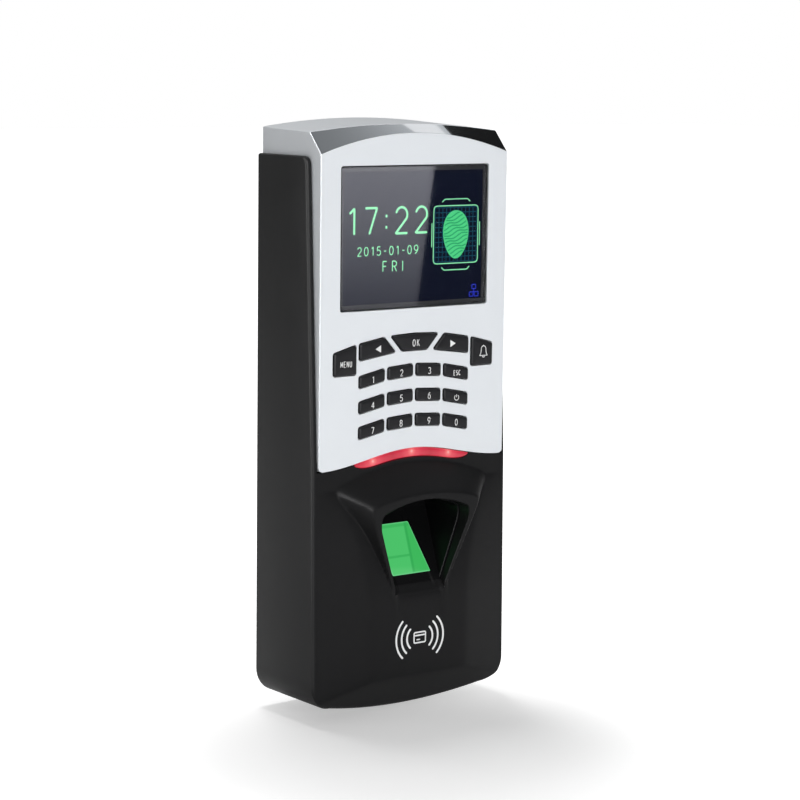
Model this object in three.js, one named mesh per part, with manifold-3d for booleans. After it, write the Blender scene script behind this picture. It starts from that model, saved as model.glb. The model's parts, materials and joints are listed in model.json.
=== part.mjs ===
// Wall-mounted fingerprint access terminal: a tall black case with a silver front cap, a colour
// display, a keypad, a light bar and a hooded finger recess, on a steel wall plate.
// Millimetres. X runs across, Y runs into the wall and Z is up. The origin is the middle of the
// wall plate's back face.

import * as THREE from 'three';
import { mergeVertices } from 'three/addons/utils/BufferGeometryUtils.js';
import Module from 'manifold-3d';

const wasm = await Module();
wasm.setup();

// Driving dimensions

// Whole body
const bodyWidth = 84;              // across the black side panels
const bodyDepth = 35.3;            // from the wall to the silver front face
const sideProud = 2;               // side panels stand out from the silver sides
const gap = 0.3;                   // between fixed neighbours
const seatGap = 0.1;               // under a part that is fixed flat against another
const caseWall = 2.2;
const fasciaWall = 1.9;
const caseRearSetback = 0.5;       // case rim to the wall
const panelSetbackTop = 5.5;       // side panel's front edge behind the silver face, at its top
const panelSetbackSeam = 0.75;     // the same at the seam
const panelProudBottom = 0.55;     // ahead of the silver face at the bottom
const panelTopDrop = 0.7;          // side panel's top edge below the cap's front corner
const sideRound = 2.5;             // rounding of the case's front vertical edges
const ledgeDepth = 2.5;            // inner ledge that the rear cover drops into

// Silver cap
const frontCrown = 6.9;            // rise of the front face's top edge from corner to middle
const bevelDepth = 6.7;            // depth of the bright bevel along the top edge
const bevelCornerRise = 7.3;
const bevelMiddleRise = 9.8;
const roofCornerRise = 8.3;        // roof's rear edge above the front corner
const roofMiddleRise = 11.2;
const skirtDepth = 9;              // the cap's side skirts beside the display
const capSideDrop = 4;             // full-depth side walls reach this far below the front corner
const seamWave = 5.3;              // the seam is lower at the sides than in the middle

// Front face, from the top down
const windowTopDrop = 3.94;        // window below the front corner
const windowSideMargin = 8.2;      // window in from the silver sides
const windowHeight = 49.1;
const windowRound = 1.1;
const keyFieldGap = 8.8;           // window to the function keys
const functionKeyHeight = 5.6;
const numberRowGap = 4.95;         // function keys to the first number row
const numberKeyWidth = 10.6;
const numberKeyHeight = 4;
const columnPitch = 12.15;
const rowPitch = 8.75;
const seamMargin = 7.8;            // last number row to the seam
const keySlot = 0.3;               // clearance round each key
const keyProud = 0.75;
const keyTravel = 1;
const keyLip = 0.55;               // lip behind the front plate that keeps a key in
const keyLipThickness = 0.8;
const keyRound = 0.8;
const okTopHalf = 10.1;            // middle function key: half width of its top and foot
const okFootHalf = 5.4;
const arrowGap = 2.9;              // middle key to the arrow keys
const tallKeyGap = 1.5;            // arrow keys to the tall outer keys
const tallKeyMargin = 5.7;         // tall outer keys to the silver sides
const tallKeyHeight = 12.7;
const functionRowSag = 2.4;        // key rows are arched: lower by this at their outer ends
const numberRowSag = 3;
const matMargin = 1.2;             // keypad mat beyond the keys

// Light bar
const lightBarHeight = 2.9;
const lightBarHalfLength = 24.5;
const lightBarEnd = 9.5;           // length of each rounded end
const lightBarThickness = 3;
const lightBarSetback = 0.35;      // behind the silver face
const ledPitch = 16;
const ledWidth = 3.2;
const ledHeight = 2;
const ledThickness = 0.9;
const ledAirGap = 1.2;             // light bar to the LED board
const ledBoardThickness = 1;
const ledBoardHeight = 9;
const ledBoardMargin = 2;          // LED board beyond the light bar's ends

// Hood and finger recess
const hoodGap = 5;                 // seam to the hood's upper edge
const hoodTipHalfWidth = 34;
const hoodTipSag = 7.2;            // hood's upper edge lower at its tips
const hoodTopRun = 9.6;            // upper edge to the rim
const rimProud = 9.1;              // rim ahead of the silver face
const rimHalfWidth = 23.9;
const rimSag = 3.5;
const hoodShell = 5.8;             // moulding thickness at the rim
const recessTopMargin = 2.3;       // rim edge to the opening
const recessArchHalf = 16.6;       // half width of the opening's arched upper edge
const recessCornerRun = 7;         // the opening's upper corners start this far down its legs
const recessCornerLean = 1.45;     // and bulge out and down by these
const recessCornerDip = 1.1;
const recessLegLength = 29.7;      // rim corner to the opening's foot
const recessFootHalfWidth = 11.2;
const recessSag = 3.4;             // opening's upper edge lower at its corners
const recessDepth = 17;            // back of the recess behind the silver face
const legBand = 0.9;               // rim left beside the opening
const recessFootLip = 2.3;         // legs' foot to the foot of the finger floor
const floorTilt = 0.866;           // depth gained per millimetre climbed along the finger floor
const liner = 1.8;                 // wall of the finger guide

// Lower panel
const panelProud = 5.3;            // raised reader panel ahead of the silver face
const panelHalfWidth = 20.5;
const readerPanelHeight = 40.7;    // recess foot to the bottom of the case
const bottomSag = 4.3;             // bottom edge higher at the sides
const bottomCornerRound = 8;
const panelBottomMargin = 11.6;    // raised panel to the bottom edge

// Optical sensor
const sensorWidth = 16.5;
const sensorLength = 20.7;
const sensorThickness = 2;         // from the finger floor to the prism's back
const sensorSetback = 0.15;        // prism's face under the finger floor
const sensorFootRise = 5.7;        // sensor's lower edge above the recess foot
const moduleDepth = 11;
const moduleMargin = 2.2;

// Display
const lensSetback = 0.25;          // lens behind the silver face
const lensThickness = 1.3;
const gasketThickness = 1.45;
const gasketWall = 1.1;
const lcdMargin = 1;
const lcdThickness = 2.2;
const trayWall = 1.2;
const trayDepth = 4.6;
const flexHalfWidth = 12;
const flexThickness = 0.4;
const flexDrop = 14;               // flat cable below the window's middle
const flexFold = 8;                // its ends, flat against the tray and the main board

// Boards and frame
const matThickness = 0.8;
const boardThickness = 1.6;
const frameThickness = 2;
const frameFront = 9;              // inner frame behind the silver face
const mainBoardFront = 20;
const boardMargin = 4;
const frameTopRise = 3;            // inner frame above the cap's front corner
const frameRib = 2;                // ribs that press the keypad board forwards
const frameRibInset = 3;
const boardPostRadius = 2;
const boardPostInset = 3;
const boardPostMargin = 5;         // posts in from the main board's ends
const mainBoardDrop = 8;           // main board's top below the cap's front corner
const mainBoardFootRise = 6;       // its foot above the seam's low ends
const powerBoardMargin = 3;        // power board above and below the cable window
const coilBoardHalfWidth = 18;
const coilBoardHeight = 22;
const coilBoardDrop = 4;           // below the recess foot
const coilBoardThickness = 1;

// Rear cover, wall plate and screws
const rearCoverThickness = 2;
const wallPlateThickness = 1.2;
const wallPlateInset = 1.2;        // plate's edge inside the cover's
const rearCornerRound = 7;
const cableWindowWidth = 52;
const cableWindowHeight = 21;
const cableWindowRise = 6;         // above the rear cover's foot
const cableWindowRound = 2;
const hookWidth = 7;
const hookSpacing = 44;
const hookDrop = 14;               // hooks below the rear cover's top
const hookThickness = 1.2;
const hookReach = 3;               // hooks ahead of the rear cover
const hookLip = 3;
const slotSpacing = 48;            // wall screw slots, across
const slotRadius = 2.5;
const slotLength = 11;
const slotHighDrop = 28;           // upper slots below the rear cover's top
const slotLowRise = 14;            // lower slots above the cable window
const screwPocket = 2.6;           // pockets in the cover for the wall screws' heads
const screwPocketMargin = 2;
const tabWidth = 16;               // foot tab of the wall plate, for the security screw
const tabReach = 14;
const tabScrewReach = 9;
const postRadius = 2.6;
const postInset = 5.2;             // case screw posts in from the silver sides
const caseScrewLowRise = 16;       // lower case screws above the bottom edge
const caseScrewHighRise = 1.5;     // upper ones above the cut in the cap's sides
const screwPlay = 0.2;             // screw shank in its hole
const caseScrewRadius = 1.15;
const caseScrewLength = 10;
const caseScrewHeadRadius = 2.3;
const caseScrewHeadThickness = 1.2;
const frameScrewRadius = 0.8;
const frameScrewLength = 6;
const frameScrewHeadRadius = 1.8;
const frameScrewHeadThickness = 1.1;
const frameBossRadius = 2;
const frameScrewLowMargin = 5;     // lower frame screws below the last key row
const capPostClearance = 2;        // upper case screw posts behind the inner frame
const capPostArm = 2;              // web that joins each of them to the cap's side
const securityScrewRadius = 1.35;
const securityScrewLength = 8;
const securityHeadRadius = 2.6;
const securityHeadThickness = 1.1;

// Parts on the boards
const switchWidth = 7;
const switchHeight = 5;
const plungerRadius = 1.5;
const plungerTravel = 1;
const plungerInset = 10.1;         // plunger in from the main board's side
const plungerDrop = 8;             // tamper plunger below the window
const boreFloor = 1;               // left under the plunger and under the cell
const speakerRadius = 10;
const speakerThickness = 2.5;
const magnetThickness = 2;
const speakerInset = 12.1;         // speaker and buzzer in from the main board's other side
const speakerDrop = 6;             // speaker below the rim's corners
const buzzerRadius = 4.5;
const buzzerThickness = 5;
const buzzerDrop = 14;             // buzzer and cell below the main board's top
const soundHoleRadius = 0.8;
const cellX = 6;
const cellRadius = 5.8;
const cellThickness = 2;
const cellClipWall = 1;
const chipDrop = 58;               // chips below the main board's top
const processorSize = 16;
const chipThickness = 1.4;
const memoryWidth = 9;
const memoryHeight = 12;
const relayWidth = 10;
const relayHeight = 15;
const relayThickness = 9;
const terminalPitch = 3.5;
const terminalHeight = 7.4;
const terminalDepth = 8;
const wireEntry = 2.4;
const wireEntryDepth = 3;
const leftWays = 4;
const rightWays = 3;
const terminalGap = 2.5;           // between the terminal blocks
const socketWidth = 16;
const socketHeight = 13.4;
const socketDepth = 8.6;
const plugWidth = 12;
const plugHeight = 8.4;
const socketWall = 1.5;            // behind the plug
const socketInset = 10;            // socket's middle in from the cable window's side
const cableConnectorHalf = 8;
const cableConnectorHeight = 4.5;
const cableConnectorDepth = 2.2;
const sensorCableHalf = 6;

// Levels and widths that follow from the dimensions above

const halfWidth = bodyWidth / 2;
const capHalf = halfWidth - sideProud;
const windowWidth = 2 * (capHalf - windowSideMargin);
const windowBottomDrop = windowTopDrop + windowHeight;
const functionDrop = windowBottomDrop + keyFieldGap;
const numberDrop = functionDrop + functionKeyHeight + numberRowGap;
const seamDrop = numberDrop + 2 * rowPitch + numberKeyHeight + seamMargin;
const hoodDrop = seamDrop + hoodGap;
const rimDrop = hoodDrop + hoodTopRun;
const rimCornerDrop = rimDrop + rimSag;
const recessFootDrop = rimCornerDrop + recessLegLength;
const floorFootDrop = recessFootDrop + recessFootLip;
const bottomDrop = floorFootDrop + readerPanelHeight;
const cornerZ = (roofMiddleRise + bottomDrop) / 2 - roofMiddleRise;

const frontY = -bodyDepth;
const caseRearY = -caseRearSetback;
const plateFrontY = -wallPlateThickness;
const coverBackY = plateFrontY - gap;
const coverFrontY = coverBackY - rearCoverThickness;
const gasketFront = lensSetback + lensThickness + seatGap;
const lcdFront = gasketFront + gasketThickness + seatGap;
const boardBack = mainBoardFront + boardThickness;

const depth = (behindFace) => frontY + behindFace;
const level = (drop) => cornerZ - drop;

// Geometry helpers

const over = 5;                    // how far a cutter runs past what it cuts
const weld = 0.1;                  // how far two shapes of one moulding reach into each other

// Turns a closed three.js geometry into a solid that can be joined and cut.
function solid(geometry) {
  const bare = geometry.clone();
  bare.deleteAttribute('normal');
  bare.deleteAttribute('uv');
  const merged = mergeVertices(bare, 1e-4);
  const index = merged.index.array;
  const triangles = [];
  for (let i = 0; i < index.length; i += 3) {
    const [a, b, c] = [index[i], index[i + 1], index[i + 2]];
    if (a !== b && b !== c && c !== a) triangles.push(a, b, c);
  }
  return new wasm.Manifold(new wasm.Mesh({
    numProp: 3,
    vertProperties: merged.attributes.position.array,
    triVerts: new Uint32Array(triangles),
  }));
}

// A block between two opposite corners.
function block(x0, x1, y0, y1, z0, z1) {
  const geometry = new THREE.BoxGeometry(x1 - x0, y1 - y0, z1 - z0);
  geometry.translate((x0 + x1) / 2, (y0 + y1) / 2, (z0 + z1) / 2);
  return solid(geometry);
}

// A round bar along Y.
function barY(x, z, radius, y0, y1, sides = 16) {
  const geometry = new THREE.CylinderGeometry(radius, radius, y1 - y0, sides);
  geometry.translate(x, (y0 + y1) / 2, z);
  return solid(geometry);
}

// A round bar along Z.
function barZ(x, y, radius, z0, z1, sides = 16) {
  const geometry = new THREE.CylinderGeometry(radius, radius, z1 - z0, sides);
  geometry.rotateX(Math.PI / 2);
  geometry.translate(x, y, (z0 + z1) / 2);
  return solid(geometry);
}

// A front-view outline carried straight back from y0 to y1.
function prism(points, y0, y1) {
  const shape = new THREE.Shape(points);
  const geometry = new THREE.ExtrudeGeometry(shape, { depth: y1 - y0, bevelEnabled: false });
  geometry.rotateX(Math.PI / 2);
  geometry.translate(0, y1, 0);
  return solid(geometry);
}

// A side-view outline of (y, z) points carried across from x0 to x1.
function slab(points, x0, x1) {
  const shape = new THREE.Shape(points);
  const geometry = new THREE.ExtrudeGeometry(shape, { depth: x1 - x0, bevelEnabled: false });
  geometry.rotateY(Math.PI / 2);
  geometry.rotateX(Math.PI / 2);
  geometry.translate(x0, 0, 0);
  return solid(geometry);
}

// Rounds the corners of a polygon with a few points each.
function rounded(corners, radius, steps = 3) {
  const points = [];
  const n = corners.length;
  corners.forEach((corner, i) => {
    const toLast = corners[(i + n - 1) % n].clone().sub(corner);
    const toNext = corners[(i + 1) % n].clone().sub(corner);
    const cut = Math.min(radius, toLast.length() / 3, toNext.length() / 3);
    const start = corner.clone().add(toLast.setLength(cut));
    const end = corner.clone().add(toNext.setLength(cut));
    const curve = new THREE.QuadraticBezierCurve(start, corner.clone(), end);
    points.push(...curve.getPoints(steps));
  });
  return points;
}

const v2 = (x, z) => new THREE.Vector2(x, z);

function rectangle(x0, x1, z0, z1, radius = 0) {
  const corners = [v2(x0, z0), v2(x1, z0), v2(x1, z1), v2(x0, z1)];
  return radius > 0 ? rounded(corners, radius) : corners;
}

// Moves every side of a polygon outwards by a distance and meets them again at the corners.
function grown(corners, distance) {
  const n = corners.length;
  return corners.map((corner, i) => {
    const last = corner.clone().sub(corners[(i + n - 1) % n]).normalize();
    const next = corners[(i + 1) % n].clone().sub(corner).normalize();
    const normal = v2(last.y + next.y, -last.x - next.x).normalize();
    const stretch = distance / Math.max(0.3, normal.dot(v2(last.y, -last.x)));
    return corner.clone().addScaledVector(normal, stretch);
  });
}

// Joins loops of equal count, front to back, into one closed skin. Each loop runs
// anticlockwise as seen from the front.
function loft(loops) {
  const n = loops[0].length;
  const positions = loops.flat().flatMap((p) => [p.x, p.y, p.z]);
  const index = [];
  const cap = (loop, offset, back) => {
    const flat = loop.map((p) => v2(p.x, p.z));
    THREE.ShapeUtils.triangulateShape(flat, []).forEach(([a, b, c]) => {
      const turn = flat[b].clone().sub(flat[a]).cross(flat[c].clone().sub(flat[a]));
      const keep = back ? turn < 0 : turn > 0;
      index.push(offset + a, offset + (keep ? b : c), offset + (keep ? c : b));
    });
  };
  cap(loops[0], 0, false);
  cap(loops[loops.length - 1], (loops.length - 1) * n, true);
  for (let i = 0; i + 1 < loops.length; i += 1) {
    for (let j = 0; j < n; j += 1) {
      const a = i * n + j;
      const b = i * n + (j + 1) % n;
      index.push(a, a + n, b, b, a + n, b + n);
    }
  }
  const geometry = new THREE.BufferGeometry();
  geometry.setAttribute('position', new THREE.Float32BufferAttribute(positions, 3));
  geometry.setIndex(index);
  return solid(geometry);
}

// A solid whose front is the surface y = surface(x, z) over a grid, and whose back is flat.
function relief(columns, rows, surface, backY) {
  const nx = columns.length;
  const nz = rows.length;
  const positions = [];
  const index = [];
  rows.forEach((z) => columns.forEach((x) => positions.push(x, surface(x, z), z)));
  for (let j = 0; j + 1 < nz; j += 1) {
    for (let i = 0; i + 1 < nx; i += 1) {
      const a = j * nx + i;
      if (columns[i] + columns[i + 1] < 0) index.push(a, a + 1, a + nx, a + 1, a + nx + 1, a + nx);
      else index.push(a, a + 1, a + nx + 1, a, a + nx + 1, a + nx);
    }
  }
  const rim = [];
  for (let i = 0; i < nx; i += 1) rim.push(i);
  for (let j = 1; j < nz; j += 1) rim.push(j * nx + nx - 1);
  for (let i = nx - 2; i >= 0; i -= 1) rim.push((nz - 1) * nx + i);
  for (let j = nz - 2; j > 0; j -= 1) rim.push(j * nx);
  const first = nx * nz;
  rim.forEach((k) => positions.push(positions[3 * k], backY, positions[3 * k + 2]));
  const middle = first + rim.length;
  positions.push((columns[0] + columns[nx - 1]) / 2, backY, (rows[0] + rows[nz - 1]) / 2);
  rim.forEach((k, i) => {
    const next = (i + 1) % rim.length;
    index.push(k, first + i, rim[next], rim[next], first + i, first + next);
    index.push(first + i, middle, first + next);
  });
  const geometry = new THREE.BufferGeometry();
  geometry.setAttribute('position', new THREE.Float32BufferAttribute(positions, 3));
  geometry.setIndex(index);
  return solid(geometry);
}

// Evenly spaced stations through a list of turning values.
function stations(turns, counts) {
  const list = [turns[0]];
  counts.forEach((count, i) => {
    for (let k = 1; k <= count; k += 1) {
      list.push(THREE.MathUtils.lerp(turns[i], turns[i + 1], k / count));
    }
  });
  return list;
}

const mirrored = (list) => [...list.slice(1).reverse().map((x) => -x), ...list];

// Shape of the body

// Seam between the silver cap and the black case: one raised-cosine wave.
const seamZ = (x) => {
  const wave = (1 - Math.cos(Math.PI * Math.min(1, Math.abs(x) / capHalf))) / 2;
  return level(seamDrop + seamWave * wave);
};

// Bottom edge of the case: a shallow arc.
const bottomZ = (x) => level(bottomDrop - bottomSag * (x / halfWidth) ** 2);

// Setback of the side panels' front edges, and of the front face's own sides below the seam.
const edgeProud = (z) => {
  const seamSide = level(seamDrop + seamWave);
  if (z > seamSide) {
    const t = (z - seamSide) / (level(panelTopDrop) - seamSide);
    return -THREE.MathUtils.lerp(panelSetbackSeam, panelSetbackTop, t);
  }
  const t = (seamSide - z) / (seamSide - level(bottomDrop));
  return THREE.MathUtils.lerp(-panelSetbackSeam, panelProudBottom, t);
};

// Raised reader panel: its soft crease runs in from the hood's tips to the panel's own width.
const creaseTop = level(hoodDrop + hoodTipSag);
const creaseFoot = level(floorFootDrop);
const creaseShare = (z) => THREE.MathUtils.clamp((creaseTop - z) / (creaseTop - creaseFoot), 0, 1);
const creaseSweep = 1.5;
const creaseLift = 0.8;
const creaseHalf = (z) => {
  const narrowing = (1 - creaseShare(z)) ** creaseSweep;
  return panelHalfWidth + (hoodTipHalfWidth - panelHalfWidth) * narrowing;
};
const seamProud = -0.5;            // black face just behind the silver one at the seam
const creaseProud = (z) => THREE.MathUtils.lerp(seamProud, panelProud, creaseShare(z) ** creaseLift);

const baseProud = (x, z) => {
  const half = creaseHalf(z);
  const side = halfWidth - sideRound;
  const outward = THREE.MathUtils.clamp((Math.abs(x) - half) / (side - half), 0, 1);
  return THREE.MathUtils.lerp(creaseProud(z), edgeProud(z), outward);
};

// Bevel that ends the raised panel above the bottom edge.
const bevelSlope = 0.74;
const bevelProud = (z) => panelProud - bevelSlope * (level(bottomDrop - panelBottomMargin) - z);

// Hood: a roof rising to the rim, the rim's own face, and flanks falling to the panel.
const hoodTopZ = (x) => level(hoodDrop + hoodTipSag * (x / hoodTipHalfWidth) ** 2);
const legShare = (z) => {
  const foot = level(recessFootDrop);
  return THREE.MathUtils.clamp((z - foot) / (level(rimCornerDrop) - foot), 0, 1);
};
const legTaper = 1.6;
const legHalf = (z) => {
  return recessFootHalfWidth + (rimHalfWidth - recessFootHalfWidth) * legShare(z) ** legTaper;
};
const flankSlope = 1.05;
const hoodProud = (x, z) => {
  const roof = seamProud + (rimProud - seamProud) * (hoodTopZ(x) - z) / hoodTopRun;
  const rimTop = level(rimDrop);
  const fall = Math.max(0, rimTop - z) / (rimTop - level(floorFootDrop));
  const rim = THREE.MathUtils.lerp(rimProud, panelProud, Math.min(1, fall));
  const flank = rim - flankSlope * Math.max(0, Math.abs(x) - legHalf(z));
  return Math.min(roof, rim, flank);
};

// Rounding of the front vertical edges: a quarter circle.
const edgeRoundBack = (x) => {
  const into = Math.max(0, Math.abs(x) - (halfWidth - sideRound));
  return sideRound - Math.sqrt(Math.max(0, sideRound ** 2 - into ** 2));
};

const caseFaceY = (x, z) => {
  const proud = Math.min(Math.max(baseProud(x, z), hoodProud(x, z)), bevelProud(z));
  return frontY - proud + edgeRoundBack(x);
};
const caseInnerY = (x, z) => {
  const proud = Math.max(baseProud(x, z) - caseWall, hoodProud(x, z) - hoodShell);
  return frontY - Math.min(proud, bevelProud(z) - caseWall);
};

// Case outline seen from the front, pulled in by a wall where asked.
function caseOutline(inset) {
  const side = halfWidth - inset;
  const top = level(panelTopDrop);
  const corner = Math.max(1, bottomCornerRound - inset);
  const steps = 8;
  const bends = 4;
  const points = [v2(side, top), v2(-side, top)];
  const cornerX = side - corner;
  const footZ = bottomZ(cornerX) + inset;
  for (let i = 0; i <= bends; i += 1) {
    const turn = Math.PI / 2 * i / bends;
    points.push(v2(-cornerX - corner * Math.cos(turn), footZ + corner - corner * Math.sin(turn)));
  }
  for (let i = 1; i < steps; i += 1) {
    const x = THREE.MathUtils.lerp(-cornerX, cornerX, i / steps);
    points.push(v2(x, bottomZ(x) + inset));
  }
  for (let i = bends; i >= 0; i -= 1) {
    const turn = Math.PI / 2 * i / bends;
    points.push(v2(cornerX + corner * Math.cos(turn), footZ + corner - corner * Math.sin(turn)));
  }
  return points;
}

// Finger opening seen from the front: two curved legs under a shallow arch, round at the corners.
function recessOutline(grow) {
  const legSteps = 6;
  const archSteps = 4;
  const foot = level(floorFootDrop) - grow;
  const shoulder = level(rimCornerDrop + recessCornerRun);
  const arch = (x) => level(rimDrop + recessTopMargin) + grow - recessSag * (x / recessArchHalf) ** 2;
  const half = (z) => legHalf(z) - legBand + grow;
  const right = [];
  for (let i = 0; i <= legSteps; i += 1) {
    const z = THREE.MathUtils.lerp(foot, shoulder, i / legSteps);
    right.push(v2(half(z), z));
  }
  const archX = recessArchHalf + grow;
  const corner = v2(half(shoulder) + recessCornerLean, arch(archX) - recessCornerDip);
  const bend = new THREE.QuadraticBezierCurve(v2(half(shoulder), shoulder), corner, v2(archX, arch(archX)));
  right.push(...bend.getPoints(archSteps).slice(1));
  for (let i = 1; i < archSteps; i += 1) {
    const x = archX * (1 - i / archSteps);
    right.push(v2(x, arch(x)));
  }
  const left = right.map((p) => v2(-p.x, p.y)).reverse();
  return [...right, v2(0, arch(0)), ...left];
}

// Finger floor: a plane through the recess foot, climbing into the body.
const floorSlant = Math.hypot(1, floorTilt);
const floorY = (z, below) => {
  return frontY - panelProud + (z - level(floorFootDrop)) * floorTilt + below * floorSlant;
};

// Everything in front of the finger floor, moved back by a distance square to it.
function aboveFloor(below, x0, x1, zLow, zHigh) {
  const front = frontY - 4 * rimProud;
  const foot = v2(floorY(zLow, below), zLow);
  const head = v2(floorY(zHigh, below), zHigh);
  return slab([v2(front, zLow), foot, head, v2(front, zHigh)], x0, x1);
}

// Front case

const columns = mirrored(stations(
  [0, recessFootHalfWidth, rimHalfWidth, hoodTipHalfWidth, halfWidth - sideRound, halfWidth],
  [3, 5, 4, 2, 4],
));
const faceTurns = [
  level(bottomDrop) - over, level(bottomDrop - panelBottomMargin), level(floorFootDrop),
  level(rimDrop), level(hoodDrop), level(seamDrop), level(panelTopDrop) + over,
];
const rows = stations(faceTurns, [5, 3, 10, 4, 2, 1]);
const innerColumns = mirrored(stations(
  [0, recessFootHalfWidth, rimHalfWidth, hoodTipHalfWidth, halfWidth],
  [2, 3, 3, 2],
));
const innerRows = stations(faceTurns, [2, 2, 6, 2, 1, 1]);

const caseScrewX = capHalf - postInset;
const caseScrewLowZ = level(bottomDrop) + caseScrewLowRise;
const caseScrewHighZ = level(capSideDrop) + caseScrewHighRise;
const postBackY = coverFrontY - gap;
const farFrontY = frontY - rimProud - over;
const lightBarBack = lightBarSetback + lightBarThickness;

// Hole for a case screw in its post.
const caseScrewHole = (x, z) => {
  const radius = caseScrewRadius + screwPlay;
  return barY(x, z, radius, postBackY - caseScrewLength - caseScrewHeadThickness, postBackY + over, 12);
};

function frontCase() {
  const outer = prism(caseOutline(0), farFrontY, caseRearY)
    .intersect(relief(columns, rows, caseFaceY, over));
  const hollow = prism(caseOutline(caseWall), farFrontY, over)
    .intersect(relief(innerColumns, innerRows, caseInnerY, 2 * over));
  const ledgeFrontY = coverFrontY - ledgeDepth;
  const rearLedge = prism(caseOutline(caseWall / 2), ledgeFrontY, caseRearY)
    .subtract(prism(rearOutline(-gap), ledgeFrontY - over, over));
  let body = outer.subtract(hollow).add(rearLedge);

  const roomHalf = capHalf + gap;
  const roomTop = level(-roofMiddleRise) + over;
  const capRoom = [v2(-roomHalf, roomTop)];
  const steps = 20;
  for (let i = 0; i <= steps; i += 1) {
    const x = THREE.MathUtils.lerp(-roomHalf, roomHalf, i / steps);
    capRoom.push(v2(x, seamZ(x) - gap));
  }
  capRoom.push(v2(roomHalf, roomTop));
  body = body.subtract(prism(capRoom, farFrontY, depth(skirtDepth + gap)));
  body = body.subtract(block(-roomHalf, roomHalf, farFrontY, over, level(capSideDrop) - gap, roomTop));
  body = body.subtract(prism(lightBarOutline(gap), farFrontY, depth(lightBarBack + gap)));

  for (const side of [-1, 1]) {
    const post = barY(side * caseScrewX, caseScrewLowZ, postRadius, frontY, postBackY)
      .intersect(relief(innerColumns, innerRows, (x, z) => caseInnerY(x, z) - caseWall / 4, 2 * over));
    body = body.add(post).subtract(caseScrewHole(side * caseScrewX, caseScrewLowZ));
  }
  const recess = prism(recessOutline(0), farFrontY, depth(recessDepth));
  const headSeat = level(bottomDrop) + securityHeadThickness + gap;
  return body.subtract(recess)
    .subtract(barZ(0, tabScrewY, securityScrewRadius + gap, level(bottomDrop) - over, tabZ + over))
    .subtract(barZ(0, tabScrewY, securityHeadRadius + gap, level(bottomDrop) - over, headSeat));
}

// Silver cap

// Height of the cap's top over the front corner, across and along its depth.
const capTopZ = (x, y) => {
  const crown = (corner, middle) => middle - (middle - corner) * (x / capHalf) ** 2;
  const back = y - frontY;
  const front = crown(0, frontCrown);
  const bevel = crown(bevelCornerRise, bevelMiddleRise);
  const roof = crown(roofCornerRise, roofMiddleRise);
  if (back < bevelDepth) return level(0) + THREE.MathUtils.lerp(front, bevel, back / bevelDepth);
  const share = (back - bevelDepth) / (caseRearY - frontY - bevelDepth);
  return level(0) + THREE.MathUtils.lerp(bevel, roof, share);
};

function capLoop(y, half, lower, lidInset) {
  const steps = 14;
  const points = [];
  for (let i = 0; i <= steps; i += 1) {
    const x = THREE.MathUtils.lerp(-half, half, i / steps);
    points.push(new THREE.Vector3(x, y, lower(x)));
  }
  for (let i = 0; i <= steps; i += 1) {
    const x = THREE.MathUtils.lerp(half, -half, i / steps);
    points.push(new THREE.Vector3(x, y, capTopZ(x, y - lidInset) - lidInset));
  }
  return points;
}

const frameScrewX = capHalf - fasciaWall - 2 * frameBossRadius;
const keyFieldFootDrop = numberDrop + 2 * rowPitch + numberKeyHeight;
const frameScrewLowZ = level(keyFieldFootDrop) - frameScrewLowMargin;
const trayOuter = lcdMargin + gap + trayWall;
const frameScrewHighZ = level(windowTopDrop - trayOuter) + frameBossRadius + 2 * gap;

function silverCap() {
  const ys = [frontY, frontY + bevelDepth, caseRearY];
  const outer = loft(ys.map((y) => capLoop(y, capHalf, seamZ, 0)));
  const below = () => level(seamDrop + seamWave) - over;
  const innerYs = [frontY + fasciaWall, frontY + bevelDepth + fasciaWall, over];
  const inner = loft(innerYs.map((y) => capLoop(y, capHalf - fasciaWall, below, fasciaWall)));
  const behindSkirts = block(-bodyWidth, bodyWidth, depth(skirtDepth), over,
    level(bottomDrop), level(capSideDrop));
  let cap = outer.subtract(inner).subtract(behindSkirts);

  const faceBack = depth(fasciaWall);
  cap = cap.subtract(prism(frameOf(0, windowRound), frontY - over, faceBack + over));
  for (const key of keys) {
    const slot = rounded(grown(key.corners, keySlot), keyRound);
    cap = cap.subtract(prism(slot, frontY - over, faceBack + over));
  }

  const bossBack = depth(frameFront) - gap;
  const postFront = depth(frameFront + frameThickness + capPostClearance);
  for (const side of [-1, 1]) {
    for (const z of [frameScrewLowZ, frameScrewHighZ]) {
      const x = side * frameScrewX;
      const holeFront = bossBack - frameScrewLength + gap;
      cap = cap.add(barY(x, z, frameBossRadius, faceBack - fasciaWall / 4, bossBack))
        .subtract(barY(x, z, frameScrewRadius + screwPlay, holeFront, bossBack + over, 12));
    }
    const x = side * caseScrewX;
    const wallX = side * (capHalf - fasciaWall / 2);
    const post = barY(x, caseScrewHighZ, postRadius, postFront, postBackY);
    const arm = block(Math.min(x, wallX), Math.max(x, wallX), postFront, postBackY,
      caseScrewHighZ - capPostArm / 2, caseScrewHighZ + capPostArm / 2);
    cap = cap.add(post).add(arm).subtract(caseScrewHole(x, caseScrewHighZ));
  }
  return cap;
}

// Keypad

// Upper edges of the key rows follow shallow arcs.
const numberHalf = numberKeyWidth / 2;
const rowHalf = 1.5 * columnPitch + numberHalf;
const functionArc = (x) => level(functionDrop + functionRowSag * (x / rowHalf) ** 2);
const numberArc = (row, x) => level(numberDrop + row * rowPitch + numberRowSag * (x / rowHalf) ** 2);
const tallKeyOuter = capHalf - tallKeyMargin;

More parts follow.
